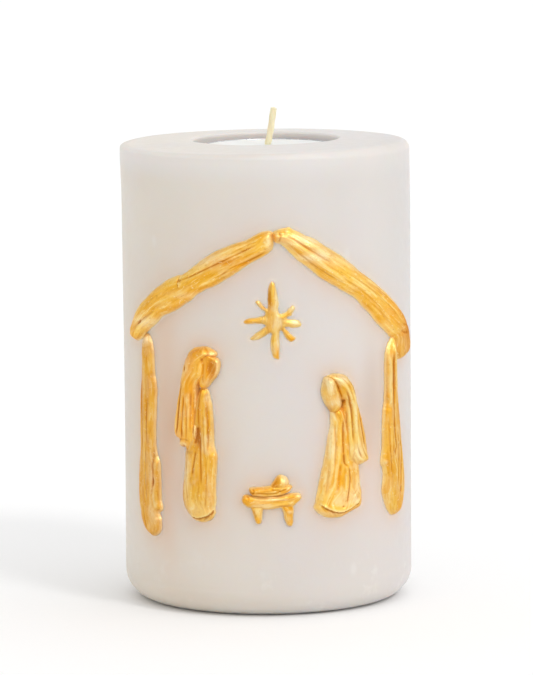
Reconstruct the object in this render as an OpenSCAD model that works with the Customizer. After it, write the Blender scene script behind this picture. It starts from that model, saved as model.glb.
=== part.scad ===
// Wax pillar candle with a loose tealight in the well in its top, and a hand-modelled stable scene,
// painted gold, pressed on its front. Millimetres. The origin is the centre of the base, +Z is up
// and the scene faces -Y.

/* [Pillar] */
// Diameter of the wax pillar
pillar_d = 80; // [78:1:86]
// Height of the wax pillar
pillar_h = 127; // [124:1:150]
// Radius of the rounded bottom edge
base_round = 8; // [2:0.5:12]
// Radius of the softened top edge
top_round = 1.8; // [0.5:0.1:3]
// Radius of the softened lip of the well
lip_round = 0.7; // [0.3:0.1:1.5]

/* [Well] */
// Diameter of the well that holds the tealight
well_d = 40.5; // [40.5:0.5:44]
// Depth of the well
well_depth = 16.5; // [15.5:0.5:20]

/* [Tealight] */
// Diameter of the cup's wall
cup_d = 36.8; // [36:0.1:37]
// Height of the cup
cup_h = 15.5; // [14.5:0.5:17]
// Thickness of the cup's metal
cup_wall = 0.3; // [0.2:0.05:0.5]
// Radius of the bead that the rim is rolled into
bead_r = 0.6; // [0.4:0.1:0.8]
// How far the tealight stands off the well's axis, to the right
cup_offset = 0.85; // [0:0.05:0.9]
// How far the wax stands below the cup's rim
wax_drop = 0.45; // [0.3:0.05:3]
// Diameter of the wick
wick_d = 1.5; // [1:0.1:2]
// Length of the wick's free end
wick_free = 11.3; // [6:0.1:16]
// Lean of the wick's free end, to the right
wick_lean = 10; // [0:1:20]

/* [Scene] */
// Thickness of the roof beams
beam_h = 2.3; // [1.6:0.1:3]
// Thickness of the posts at their middle
post_h = 2.3; // [1.6:0.1:3]
// Thickness of the robes at their middle
robe_h = 2.5; // [1.8:0.1:3]
// Thickness of the mantle and the veil at their middle
veil_h = 3.1; // [2:0.1:3.6]
// Thickness of the star
star_h = 1.5; // [1:0.1:2.5]
// Thickness of the manger's trough
trough_h = 2.3; // [1.6:0.1:3]
// Depth of the grooves and creases
groove_deep = 0.6; // [0.2:0.1:0.8]

/* [Hidden] */
$fn = 96;
pillar_r = pillar_d / 2;
well_floor = pillar_h - well_depth;
cup_r = cup_d / 2;
cup_floor = well_floor + cup_wall;
cup_top = well_floor + cup_h;
wax_r = cup_r - cup_wall - 0.2;
wax_top = cup_top - wax_drop;
corner_r = 1.2;
disc_r = 6.5;
disc_t = 0.3;
neck_r = 1.15;
neck_h = 5.5;
fit_gap = 0.05;
wick_r = wick_d / 2;
burnt_r = wick_r * 0.95; // radius of the wick's free end
tip_r = wick_r / 2; // rounding of the wick's tip
drawn_r = 40; // radius of the pillar on which the outlines below are laid out
over = 1; // overrun of a cutting solid

// Outlines of the scene, anticlockwise or clockwise, as [distance round the pillar from the middle of
// the front, height]. Right is positive.
roof_left_line = [[2.1, 106.2], [-2.1, 105.8], [-6.2, 103.7], [-12.2, 101.6], [-17.2, 99],
    [-21.2, 95.8], [-24.6, 94], [-27.5, 93], [-32.2, 90.5], [-38.2, 86.6], [-42.3, 83.5],
    [-45.1, 79.8], [-46.4, 76.2], [-44.7, 74.1], [-41.4, 74.6], [-37.8, 77.2], [-34.3, 79.5],
    [-31.3, 81.9], [-26, 84.1], [-20.3, 87.9], [-13.8, 91.5], [-7.8, 95.2], [-1.8, 98.9], [1.9, 101.1],
    [3, 103]];
roof_right_line = [[2.9, 106.6], [6.1, 107.3], [9, 105.9], [14.9, 102.8], [20.7, 99.2], [27.3, 94.2],
    [34.9, 89.3], [42.8, 83.8], [48.3, 78.8], [50.1, 74.6], [49.3, 69.9], [46.7, 68.3], [43.7, 68.3],
    [41.9, 70.2], [40.7, 74.4], [36.6, 77.3], [32.6, 80.4], [28.3, 84.3], [22.7, 88.6], [14.9, 93.1],
    [8.5, 98.1], [4.9, 101.7], [2.8, 103.1]];
post_left_line = [[-39.5, 76], [-40.4, 72], [-40.5, 64], [-41.2, 56], [-41.3, 46], [-42.3, 38],
    [-42.2, 30], [-40.8, 23.9], [-38.5, 21.2], [-35.8, 20.6], [-33.4, 22.2], [-33.1, 27], [-32.3, 31],
    [-32.8, 39], [-34.2, 44], [-34.6, 51], [-33.9, 61], [-34.9, 68], [-35.6, 74.3], [-37.3, 76.4]];
post_right_line = [[40.7, 75.4], [38.4, 72.6], [37.1, 69], [37.1, 62], [36.1, 55], [35.7, 47],
    [35, 41], [35.9, 36.5], [35.5, 32], [37.1, 28], [39.7, 25.5], [42.7, 25.4], [45, 28], [46.3, 34],
    [45.8, 41], [44.2, 48.5], [42.6, 58], [42.4, 68], [41.5, 73]];
mantle_line = [[-18.7, 74.6], [-21.4, 73.7], [-23.3, 71.1], [-24.6, 67], [-25.5, 61.5], [-26.8, 54.5],
    [-26.7, 49.9], [-25, 47.2], [-22.5, 46.2], [-20.3, 47.5], [-19, 50.2], [-18.8, 53], [-19.3, 58],
    [-18.9, 63], [-17.3, 65.2], [-16.2, 66.8], [-16.2, 70.5], [-14.6, 72.6], [-15.6, 74.2]];
left_head_line = [[-14.2, 72], [-12.9, 70.4], [-13.2, 68], [-14.4, 66], [-15.8, 64.3], [-17.4, 63],
    [-18.6, 64.5], [-18, 71], [-16, 73]];
left_robe_line = [[-17, 63.8], [-15.8, 61], [-15, 57], [-14.7, 48], [-13.9, 44], [-14.4, 34],
    [-14.7, 29], [-16.2, 26.9], [-19, 26.1], [-21.8, 27.2], [-24, 29.8], [-24.8, 33.5], [-24.2, 40],
    [-23.5, 46.5], [-22, 54], [-20, 62]];
veil_line = [[16.2, 66.5], [19.2, 67], [22.4, 66.1], [24.6, 63.2], [26.1, 57.5], [27.7, 52], [28.8, 46],
    [29.4, 43], [27.8, 41.2], [24.6, 40.9], [22, 41.8], [20.7, 44.2], [20.6, 54], [20.8, 58.6],
    [19.2, 61.3], [17.6, 64.4]];
right_head_line = [[17, 66.6], [15.4, 65.8], [14.6, 63.2], [14.9, 60.6], [16.3, 57.9], [18, 56],
    [20, 57.5], [20, 62], [18.6, 65.5]];
right_robe_line = [[18.2, 56.6], [17.4, 53], [16.2, 47.6], [15.2, 42.5], [13.7, 36], [12.3, 31],
    [14, 28.4], [17.4, 27.1], [21, 27.3], [24.4, 28.7], [27.2, 30.3], [27.3, 35], [26.7, 41],
    [24.8, 46], [22.5, 54]];
trough_line = [[-7.1, 32.5], [-6.2, 34.4], [0, 34.2], [6.6, 34.2], [8.2, 34.4], [8.4, 32.8],
    [6.2, 30.8], [3.6, 30.2], [-1, 30.2], [-5, 30.6]];
leg_left_line = [[-4.4, 31.2], [-3.2, 26.9], [-2.2, 26.7], [-1, 31.2]];
leg_right_line = [[3.4, 31.2], [4.6, 26.8], [5.9, 26.2], [6.4, 31.2]];
// Middle, radius and height above the wall of the child's head
head_at = [3.3, 38.3];
head_r = 1.95;
head_h = 2.7;
infant_line = [[-5.2, 34], [-5.2, 36], [-2, 36.5], [1.2, 37.2], [5.9, 36.9], [6, 34]];

// Rays of the star, as [direction, length, half width], laid round star_at
star_at = [1.4, 81.5];
rays = [[91, 11.1, 1.4], [37, 6.3, 1], [-6, 7.4, 1.2], [-40, 7.2, 0.8], [-87, 9.8, 1.2],
    [216, 7.1, 0.8], [178, 7.4, 1], [125, 7.2, 0.7]];

// Points of an arc
function arc(x, y, r, from, to, steps = 10) =
    [for (i = [0 : steps]) let (a = from + (to - from) * i / steps) [x + r * cos(a), y + r * sin(a)]];

// Angle round the pillar, in degrees, of a distance along the drawn front
function turn(s) = s / drawn_r * 180 / PI;

// A drawn outline as seen square on from the direction aim
function seen(line, aim) = [for (p = line) [pillar_r * sin(turn(p[0] - aim)), p[1]]];

// A closed outline softened by a smooth curve through its points, in parts steps between two points
function soft(p, parts = 3) = let (n = len(p)) [for (i = [0 : n - 1]) for (k = [0 : parts - 1])
    let (a = p[(i + n - 1) % n], b = p[i], c = p[(i + 1) % n], d = p[(i + 2) % n], t = k / parts)
    (2 * b + (c - a) * t + (2 * a - 5 * b + 4 * c - d) * t * t + (3 * b - a - 3 * c + d) * t * t * t) / 2];

// Unit direction across a route at its point i
function across(p, i) =
    let (v = p[min(i + 1, len(p) - 1)] - p[max(i - 1, 0)]) [-v[1], v[0]] / norm(v);

// Outline of a stroke along a route, narrow at both ends
function stroke(p, width) = let (last = len(p) - 1)
    concat([for (i = [0 : last]) p[i] + across(p, i) * half_width(i, last, width)],
        [for (i = [last : -1 : 0]) p[i] - across(p, i) * half_width(i, last, width)]);
function half_width(i, last, width) = width / 2 * ((i == 0 || i == last) ? 0.3 : 1);

// Outline of one ray of the star
function ray(turned, length, half) = [for (p = [[0, -0.6], [0.45, -1], [0.8, -0.85], [0.96, -0.4],
    [1, 0], [0.96, 0.4], [0.8, 0.85], [0.45, 1], [0, 0.6]]) let (x = p[0] * length, y = p[1] * half)
    star_at + [x * cos(turned) - y * sin(turned), x * sin(turned) + y * cos(turned)]];

// Straight prism of an outline, aimed out of the pillar
module prism(line, aim)
    rotate([90, 0, turn(aim)]) linear_extrude(height = pillar_r * 1.3) polygon(seen(line, aim));

// Shell round the pillar between two heights above its wall
module shell(low, high) difference() {
    cylinder(r = pillar_r + high, h = pillar_h);
    translate([0, 0, -over]) cylinder(r = pillar_r + low, h = pillar_h + 2 * over);
}

// Wax laid on the pillar inside an outline, with an even thickness
module laid(line, aim, high, low = 0) intersection() {
    prism(line, aim);
    shell(low, high);
}

// Upright round that crowns a piece across its width, through the drawn point at, tipped by lean
module crown(at, aim, high, crown_r, lean) rotate([0, 0, turn(aim)])
    translate([0, -(pillar_r + high - crown_r), at]) rotate([0, lean, 0])
        cylinder(r = crown_r, h = pillar_h, center = true);

// Groove pressed into a piece whose face stands high above the wall
module groove(route, width, aim, high) laid(stroke(route, width), aim, high + over, high - groove_deep);

module pillar_body() color("antiquewhite") rotate_extrude() polygon(concat([[0, 0]],
    arc(pillar_r - base_round, base_round, base_round, -90, 0, 16),
    arc(pillar_r - top_round, pillar_h - top_round, top_round, 0, 90),
    arc(well_d / 2 + lip_round, pillar_h - lip_round, lip_round, 90, 180),
    [[well_d / 2, well_floor], [0, well_floor]]));

// Places what belongs to the tealight on its own axis
module on_tealight() translate([cup_offset, 0, 0]) children();

module tealight_cup() color("silver") on_tealight() rotate_extrude() polygon(concat([[0, well_floor]],
    arc(cup_r - corner_r, well_floor + corner_r, corner_r, -90, 0),
    arc(cup_r, cup_top - bead_r, bead_r, -90, 90),
    [[cup_r - cup_wall, cup_top]],
    arc(cup_r - corner_r, well_floor + corner_r, corner_r - cup_wall, 0, -90),
    [[0, cup_floor]]));

module tealight_wax() color("white") on_tealight() rotate_extrude() polygon(concat(
    [[disc_r + fit_gap, cup_floor]],
    arc(wax_r - corner_r, cup_floor + corner_r, corner_r, -90, 0),
    arc(wax_r - corner_r, wax_top - corner_r, corner_r, 0, 90),
    [[wick_r + fit_gap, wax_top], [wick_r + fit_gap, cup_floor + neck_h + fit_gap],
    [neck_r + fit_gap, cup_floor + neck_h + fit_gap], [neck_r + fit_gap, cup_floor + disc_t],
    [disc_r + fit_gap, cup_floor + disc_t]]));

module wick_sustainer() color("gainsboro") on_tealight() rotate_extrude() polygon([
    [wick_r, cup_floor], [disc_r, cup_floor], [disc_r, cup_floor + disc_t],
    [neck_r, cup_floor + disc_t], [neck_r, cup_floor + neck_h], [wick_r, cup_floor + neck_h]]);

module wick() color("wheat") on_tealight() {
    bend = wax_top + wick_r / 2;
    translate([0, 0, cup_floor]) cylinder(r = wick_r, h = bend - cup_floor);
    translate([0, 0, bend]) rotate([0, wick_lean, 0]) rotate_extrude() polygon(concat([[0, -tip_r]],
        [[burnt_r, -tip_r]], arc(burnt_r - tip_r, wick_free - tip_r, tip_r, 0, 90, 5), [[0, wick_free]]));
}

module gold() color("goldenrod") children();

// Directions that the roof, the posts and the figures are aimed in, as distances along the front
roof_left_aim = -22;
roof_right_aim = 25.7;
post_left_aim = -37.3;
post_right_aim = 40.6;
left_aim = -20;
right_aim = 20.5;

module roof_beam_right() gold() difference() {
    union() {
        laid(soft(roof_right_line), roof_right_aim, beam_h * 0.75);
        laid(stroke([[4.2, 105.2], [9.7, 103], [18.7, 98], [28.7, 91], [38.7, 84], [45.7, 77.5]], 5.5),
            roof_right_aim, beam_h);
    }
    groove([[4.7, 105.3], [7.7, 103.7], [12.7, 100], [18.7, 96.5]], 0.9, roof_right_aim, beam_h * 0.75);
    groove([[14.7, 99.8], [24.7, 93.5], [34.7, 86.5], [40.7, 82]], 0.7, roof_right_aim, beam_h);
    groove([[10.7, 99.2], [20.7, 92.8], [30.7, 85.2], [36.7, 80.5]], 0.7, roof_right_aim, beam_h * 0.75);
    groove([[42.2, 76.9], [44.3, 75.6], [46.7, 75.2]], 0.8, roof_right_aim, beam_h);
}

module roof_beam_left() gold() difference() {
    union() {
        laid(soft(roof_left_line), roof_left_aim, beam_h * 0.75);
        laid([[-0.2, 105.2], [-7, 102.4], [-16, 98.9], [-24.2, 93.2], [-22.5, 92.4], [-14, 96.6], [-5, 101.2]],
            roof_left_aim, beam_h);
        laid(stroke([[-2, 100.6], [-12, 94.6], [-22, 88.8], [-32, 84.4], [-43.5, 76.6]], 3),
            roof_left_aim, beam_h);
    }
    prism(soft(roof_right_line), roof_right_aim);
    groove([[-24, 92.2], [-20, 94], [-14, 97], [-7, 100.5]], 0.9, roof_left_aim, beam_h);
    groove([[-13, 93.5], [-9, 96.5], [-4, 99]], 0.8, roof_left_aim, beam_h * 0.75);
    groove([[-42, 77.7], [-39.5, 79.6], [-36, 81.5]], 1, roof_left_aim, beam_h * 0.75);
}

// Post crowned across its width, butted up under a roof beam
module post(line, aim, roof_line, roof_aim, creases) difference() {
    intersection() {
        laid(soft(line), aim, post_h);
        crown(pillar_h / 2, aim, post_h, 7, 0);
    }
    prism(soft(roof_line), roof_aim);
    for (crease = creases) groove(crease, 0.7, aim, post_h - 0.2);
}

module post_left() gold() post(post_left_line, post_left_aim, roof_left_line, roof_left_aim,
    [[[-36, 58], [-36.8, 52], [-36.4, 45]], [[-38.4, 69], [-38.8, 60], [-38.6, 50]],
    [[-37.3, 41], [-38.3, 34], [-37.6, 27]]]);

module post_right() gold() post(post_right_line, post_right_aim, roof_right_line, roof_right_aim,
    [[[39.1, 70], [39, 58], [39.4, 48], [40.9, 41]], [[42.6, 44], [43.1, 37], [42.4, 30]]]);

module star() gold() {
    for (r = rays) laid(ray(r[0], r[1], r[2]), star_at[0], star_h);
    laid(ray(rays[0][0], rays[0][1] * 0.8, 0.5), star_at[0], star_h + 0.4);
}

module left_figure_mantle() gold() difference() {
    intersection() {
        laid(soft(mantle_line), left_aim, veil_h);
        crown(60, left_aim - 1.6, veil_h, 8, 5);
    }
    groove([[-23.4, 66], [-24.2, 57], [-25, 50]], 0.7, left_aim, veil_h - 0.9);
    groove([[-20.4, 71], [-21.8, 63], [-22.4, 52]], 0.6, left_aim, veil_h - 0.2);
}

module left_figure_head() gold() difference() {
    laid(soft(left_head_line), left_aim, robe_h - 0.2);
    prism(soft(mantle_line), left_aim);
    prism(soft(left_robe_line), left_aim);
}

module left_figure_robe() gold() difference() {
    intersection() {
        laid(soft(left_robe_line), left_aim, robe_h);
        crown(45, left_aim + 0.6, robe_h, 8, 0);
    }
    prism(soft(mantle_line), left_aim);
    groove([[-14.2, 30.6], [-16.5, 28.7], [-19, 27.7], [-22, 28.2]], 0.7, left_aim, robe_h - 0.3);
    groove([[-19, 46], [-20, 41], [-20.7, 34]], 0.6, left_aim, robe_h);
    groove([[-17.8, 52], [-18, 44], [-17.6, 35]], 0.6, left_aim, robe_h);
}

module right_figure_veil() gold() difference() {
    intersection() {
        laid(soft(veil_line), right_aim, veil_h);
        crown(54, right_aim + 3, veil_h, 8, 7);
    }
    groove([[24, 63.5], [25.2, 58], [26, 52], [27, 45.5]], 0.7, right_aim, veil_h - 0.3);
    groove([[22, 61], [22.4, 53], [23.3, 44.5]], 0.6, right_aim, veil_h);
}

module right_figure_head() gold() difference() {
    laid(soft(right_head_line), right_aim, robe_h);
    prism(soft(veil_line), right_aim);
    prism(soft(right_robe_line), right_aim);
}

module right_figure_robe() gold() difference() {
    intersection() {
        laid(soft(right_robe_line), right_aim, robe_h);
        crown(42, right_aim - 1, robe_h, 9, -8);
    }
    prism(soft(veil_line), right_aim);
    groove([[13.4, 31.6], [16, 30], [19.6, 29], [23, 29.9], [26, 31.2]], 0.7, right_aim, robe_h - 0.3);
    groove([[19, 46], [19.3, 39], [18.4, 33]], 0.6, right_aim, robe_h);
    groove([[22, 40], [22.3, 36], [21.4, 31.5]], 0.6, right_aim, robe_h);
}

module manger_trough() gold() difference() {
    laid(soft(trough_line), 0, trough_h);
    groove([[-3.5, 33.5], [0, 33.1], [3.5, 33.5]], 0.6, 0, trough_h);
}

// Leg under the trough
module leg(line) gold() difference() {
    laid(line, 0, trough_h * 0.7);
    prism(soft(trough_line), 0);
}

module manger_leg_left() leg(leg_left_line);

module manger_leg_right() leg(leg_right_line);

// Round knob of the child's head, set into the wall
module head_knob() rotate([90, 0, turn(head_at[0])]) translate([0, head_at[1], pillar_r - 1])
    rotate_extrude() polygon(concat([[0, 0], [head_r, 0]], arc(0, head_h + 1 - head_r, head_r, 0, 90)));

module infant_body() gold() difference() {
    laid(soft(infant_line), 0, trough_h + 0.3);
    prism(soft(trough_line), 0);
    head_knob();
}

module infant_head() gold() difference() {
    head_knob();
    cylinder(r = pillar_r, h = pillar_h);
}

pillar_body();
tealight_cup();
tealight_wax();
wick();
wick_sustainer();
roof_beam_left();
roof_beam_right();
post_left();
post_right();
star();
left_figure_robe();
left_figure_mantle();
left_figure_head();
right_figure_robe();
right_figure_veil();
right_figure_head();
manger_trough();
manger_leg_left();
manger_leg_right();
infant_body();
infant_head();
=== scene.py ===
import math

import bpy
import numpy as np
from mathutils import Matrix, Vector, geometry, noise


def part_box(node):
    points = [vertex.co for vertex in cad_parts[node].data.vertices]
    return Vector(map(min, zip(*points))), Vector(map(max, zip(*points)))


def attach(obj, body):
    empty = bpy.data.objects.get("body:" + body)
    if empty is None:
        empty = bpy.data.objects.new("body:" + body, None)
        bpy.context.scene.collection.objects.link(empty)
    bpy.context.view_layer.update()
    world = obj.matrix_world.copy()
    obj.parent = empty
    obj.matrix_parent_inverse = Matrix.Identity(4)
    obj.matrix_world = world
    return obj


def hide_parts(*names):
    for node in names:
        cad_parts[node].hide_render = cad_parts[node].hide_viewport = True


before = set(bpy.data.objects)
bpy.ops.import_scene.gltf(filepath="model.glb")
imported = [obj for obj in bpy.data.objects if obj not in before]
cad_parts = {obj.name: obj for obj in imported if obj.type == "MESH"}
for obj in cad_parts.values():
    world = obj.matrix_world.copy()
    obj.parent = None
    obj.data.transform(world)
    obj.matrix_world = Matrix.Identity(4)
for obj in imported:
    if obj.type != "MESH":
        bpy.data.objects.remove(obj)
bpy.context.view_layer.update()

# The pillar candle's looks: a slightly uneven wax pillar, a relief of painted wax sculpted in
# millimetres on the unrolled front and wrapped round the pillar, and the tealight in its well.
# Unrolled points are (distance round the front from its middle, height), right and up positive.

MM = 0.001
TAU = 2 * math.pi


def mm_box(node):
    """The low and high corners of a CAD node's box, in millimetres."""
    low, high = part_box(node)
    return np.array(low) / MM, np.array(high) / MM


_, PILLAR_HIGH = mm_box("pillar_body")
CUP_LOW, CUP_HIGH = mm_box("tealight_cup")
SLUG_LOW, SLUG_HIGH = mm_box("tealight_wax")
PILLAR_R = PILLAR_HIGH[0]
PILLAR_H = PILLAR_HIGH[2]
WELL_R = 20.25
WELL_FLOOR = CUP_LOW[2]
BASE_ROUND = 8.0
TEALIGHT_X = (CUP_LOW[0] + CUP_HIGH[0]) / 2


# ---------------------------------------------------------------- camera, light and stage

def make_camera():
    """A long lens a little above the candle, aimed at its middle and rolled by half a degree."""
    data = bpy.data.cameras.new("camera")
    cam = bpy.data.objects.new("camera", data)
    bpy.context.scene.collection.objects.link(cam)
    cam.location = Vector((0, -1331, 248.4)) * MM
    aim = Vector((0, 0, PILLAR_H / 2)) * MM
    look = (aim - cam.location).to_track_quat("-Z", "Y").to_matrix().to_4x4()
    roll = Matrix.Rotation(math.radians(-0.451), 4, "Z")
    cam.matrix_world = Matrix.Translation(cam.location) @ look @ roll
    data.lens = 257.05
    data.sensor_width = 36
    data.shift_x = -0.0013
    data.shift_y = 0.0453
    data.clip_end = 20
    bpy.context.scene.camera = cam


def soft_sun(name, azimuth, elevation, power, spread, colour=(1, 1, 1), gloss_only=False):
    """A distant soft light. Azimuth 0 shines from the front and 90 from the right."""
    data = bpy.data.lights.new(name, "SUN")
    data.energy = power
    data.angle = math.radians(spread)
    data.color = colour
    light = bpy.data.objects.new(name, data)
    bpy.context.scene.collection.objects.link(light)
    a, e = math.radians(azimuth), math.radians(elevation)
    source = Vector((math.sin(a) * math.cos(e), -math.cos(a) * math.cos(e), math.sin(e)))
    light.location = source
    light.rotation_euler = (-source).to_track_quat("-Z", "Y").to_euler()
    light.visible_diffuse = not gloss_only


def make_stage():
    bpy.context.scene.view_settings.view_transform = "Standard"
    world = bpy.data.worlds.new("studio")
    bpy.context.scene.world = world
    world.use_nodes = True
    # A white room, brighter from the upper right than from the lower left
    tree = world.node_tree
    place = tree.nodes.new("ShaderNodeTexCoord")
    facing = tree.nodes.new("ShaderNodeVectorMath")
    facing.operation = "DOT_PRODUCT"
    facing.inputs[1].default_value = Vector((0.86, -0.1, 0.5)).normalized()
    grade = tree.nodes.new("ShaderNodeMapRange")
    grade.inputs["From Min"].default_value = -1
    grade.inputs["To Min"].default_value = 0.70
    grade.inputs["To Max"].default_value = 1.07
    tree.links.new(place.outputs["Generated"], facing.inputs[0])
    tree.links.new(facing.outputs["Value"], grade.inputs["Value"])
    tree.links.new(grade.outputs["Result"], tree.nodes["Background"].inputs["Strength"])
    tree.nodes["Background"].inputs["Color"].default_value = (1, 1, 1, 1)
    soft_sun("key", 40, 44, 0.55, 13, (1, 0.995, 0.99))
    soft_sun("glint", 26, 54, 1.6, 26, gloss_only=True)
    half = 9.0  # metres, far past what the camera sees
    mesh = bpy.data.meshes.new("floor")
    corners = [(-half, -half, 0), (half, -half, 0), (half, half, 0), (-half, half, 0)]
    mesh.from_pydata(corners, [], [(0, 1, 2, 3)])
    floor = bpy.data.objects.new("floor", mesh)
    bpy.context.scene.collection.objects.link(floor)
    floor.data.materials.append(floor_paint())


# ---------------------------------------------------------------- materials

def new_material(name):
    """A new material and its Principled shader, a function that adds a node and one that links a socket
    to the shader."""
    mat = bpy.data.materials.new(name)
    mat.use_nodes = True
    tree = mat.node_tree
    shader = tree.nodes["Principled BSDF"]

    def add(kind, inputs=None, **settings):
        node = tree.nodes.new(kind)
        for key, value in settings.items():
            setattr(node, key, value)
        for key, value in (inputs or {}).items():
            if isinstance(value, bpy.types.NodeSocket):
                tree.links.new(value, node.inputs[key])
            else:
                node.inputs[key].default_value = value
        return node

    def link(socket, key):
        tree.links.new(socket, shader.inputs[key])

    return mat, shader, add, link


def mix(add, factor, a, b, blend="MIX"):
    """Colour mixed from a to b by factor; each may be a colour or a socket."""
    node = add("ShaderNodeMix", data_type="RGBA", blend_type=blend)
    for index, value in ((0, factor), (6, a), (7, b)):
        if isinstance(value, bpy.types.NodeSocket):
            node.id_data.links.new(value, node.inputs[index])
        else:
            node.inputs[index].default_value = value if index == 0 else (*value[:3], 1)
    return node.outputs[2]


def remap(add, value, low, high, to_low=0.0, to_high=1.0):
    """Map a value from low and high to to_low and to_high, held at both ends and eased between them."""
    node = add("ShaderNodeMapRange", {"Value": value, "From Min": low, "From Max": high,
                                      "To Min": to_low, "To Max": to_high})
    node.interpolation_type = "SMOOTHSTEP"
    return node.outputs["Result"]


def times(add, a, b, clamp=False):
    return add("ShaderNodeMath", {0: a, 1: b}, operation="MULTIPLY", use_clamp=clamp).outputs[0]


def plus(add, a, b):
    return add("ShaderNodeMath", {0: a, 1: b}, operation="ADD").outputs[0]


def scaled(add, vector, scale):
    return add("ShaderNodeVectorMath", {0: vector, 1: scale}, operation="MULTIPLY").outputs[0]


def fractal(add, vector, scale, detail=3.0, roughness=0.5):
    """Layered noise, 0 to 1."""
    return add("ShaderNodeTexNoise", {"Vector": vector, "Scale": scale, "Detail": detail,
                                      "Roughness": roughness}).outputs["Fac"]


def attribute(add, name, output="Fac"):
    """A value laid on the mesh's points, by name."""
    return add("ShaderNodeAttribute", attribute_name=name).outputs[output]


def coords_in_mm(add):
    return scaled(add, add("ShaderNodeTexCoord").outputs["Object"], (1000, 1000, 1000))


def bumpy(add, link, height, strength, distance):
    bump = add("ShaderNodeBump", {"Height": height, "Strength": strength, "Distance": distance})
    link(bump.outputs["Normal"], "Normal")


def let_light_in(shader, weight, radius):
    """Light scattered inside the material, over a radius in metres for each colour."""
    shader.inputs["Subsurface Weight"].default_value = weight
    shader.inputs["Subsurface Radius"].default_value = radius
    shader.inputs["Subsurface Scale"].default_value = 1.0


def floor_paint():
    mat, shader, add, link = new_material("studio_floor")
    coords = add("ShaderNodeTexCoord").outputs["Object"]
    grain = fractal(add, coords, 900)
    link(mix(add, grain, (0.95, 0.95, 0.95), (0.98, 0.98, 0.98)), "Base Color")
    shader.inputs["Roughness"].default_value = 0.9
    shader.inputs["Specular IOR Level"].default_value = 0.1
    return mat


def pillar_wax():
    """Cloudy off-white wax: warm and lilac clouds, frosting near the base, painted bounce light and shade
    beside the paint.
    """
    mat, shader, add, link = new_material("pillar_wax")
    coords = coords_in_mm(add)
    position = add("ShaderNodeSeparateXYZ", {0: coords})
    across, height = position.outputs["X"], position.outputs["Z"]
    cloud = remap(add, fractal(add, coords, 0.022, 3), 0.38, 0.64)
    lilac = remap(add, fractal(add, scaled(add, coords, (1, 1, 0.6)), 0.035, 2), 0.45, 0.7)
    # Painted shading across the front: warmer towards the left, faintly lilac towards the right, and
    # painted shade darker at the right edge
    warm = mix(add, cloud, (0.742, 0.69, 0.615), (0.72, 0.66, 0.58))
    cool = mix(add, cloud, (0.70, 0.67, 0.65), (0.685, 0.65, 0.615))
    colour = mix(add, remap(add, across, -34, 24), warm, cool)
    # Painted shade at the right edge, where the wall turns away
    colour = mix(add, times(add, remap(add, across, 27, 41), 0.6), colour, (0.585, 0.565, 0.555))
    # Painted shade: greyer inside the well, and a little darker along the left half of the top edge
    flat = scaled(add, coords, (1, 1, 0))
    out = add("ShaderNodeVectorMath", {0: flat}, operation="LENGTH").outputs["Value"]
    inner = times(add, remap(add, out, 21.0, 20.4), 0.6)
    colour = mix(add, inner, colour, (0.585, 0.555, 0.55))
    edge = times(add, remap(add, out, 37.4, 39.0), remap(add, height, 123.8, 126.4))
    edge = times(add, edge, remap(add, across, 14, -8, 0.1, 0.5))
    colour = mix(add, edge, colour, (0.56, 0.53, 0.50))
    colour = mix(add, times(add, lilac, 0.4), colour, (0.695, 0.655, 0.655))
    # Painted light: paler and cooler just under the top edge, most of it on the left
    at_top = remap(add, height, 127, 125.4, 0.15, 0.6)
    top_edge_light = times(add, remap(add, height, 118, 124), at_top)
    top_edge_light = times(add, top_edge_light, remap(add, across, 8, 34, 1.0, 0.35))
    colour = mix(add, top_edge_light, colour, (0.745, 0.735, 0.725))
    # Paler frosted blotches low down
    blotch = remap(add, fractal(add, coords, 0.16, 5, 0.6), 0.56, 0.72)
    low = remap(add, height, 22, 8)
    colour = mix(add, times(add, times(add, blotch, low), 0.5), colour, (0.78, 0.76, 0.72))
    # Small pale flecks under the surface
    cells = add("ShaderNodeTexVoronoi", {"Vector": scaled(add, coords, (1, 1, 0.6)), "Scale": 0.07},
                feature="F1")
    fleck = remap(add, cells.outputs["Distance"], 0.12, 0.02)
    colour = mix(add, times(add, fleck, 0.35), colour, (0.80, 0.79, 0.77))
    # Painted warm light thrown back off the gold, and painted shade, on the wax beside the relief
    colour = mix(add, attribute(add, "beside"), colour, (0.77, 0.44, 0.25))
    # The paint shades the wax right beside it, and light thrown back off the gold makes up for that
    colour = mix(add, attribute(add, "halo"), colour, (0.98, 0.90, 0.78))
    # Painted shade: browner low down, most of it on the left, and darker strips between the posts and the
    # figures
    heel_shade = times(add, remap(add, height, 15, 2), remap(add, across, -28, 12, 0.46, 0.04))
    colour = mix(add, heel_shade, colour, (0.62, 0.54, 0.44))
    colour = mix(add, attribute(add, "shade"), colour, (0.50, 0.42, 0.35))
    link(colour, "Base Color")
    link(remap(add, fractal(add, coords, 0.4, 4), 0.3, 0.7, 0.42, 0.56), "Roughness")
    bumpy(add, link, fractal(add, coords, 0.5, 5, 0.6), 0.12, 0.0004)
    let_light_in(shader, 0.8, (0.0050, 0.0036, 0.0027))
    shader.inputs["Specular IOR Level"].default_value = 0.3
    return mat


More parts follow.
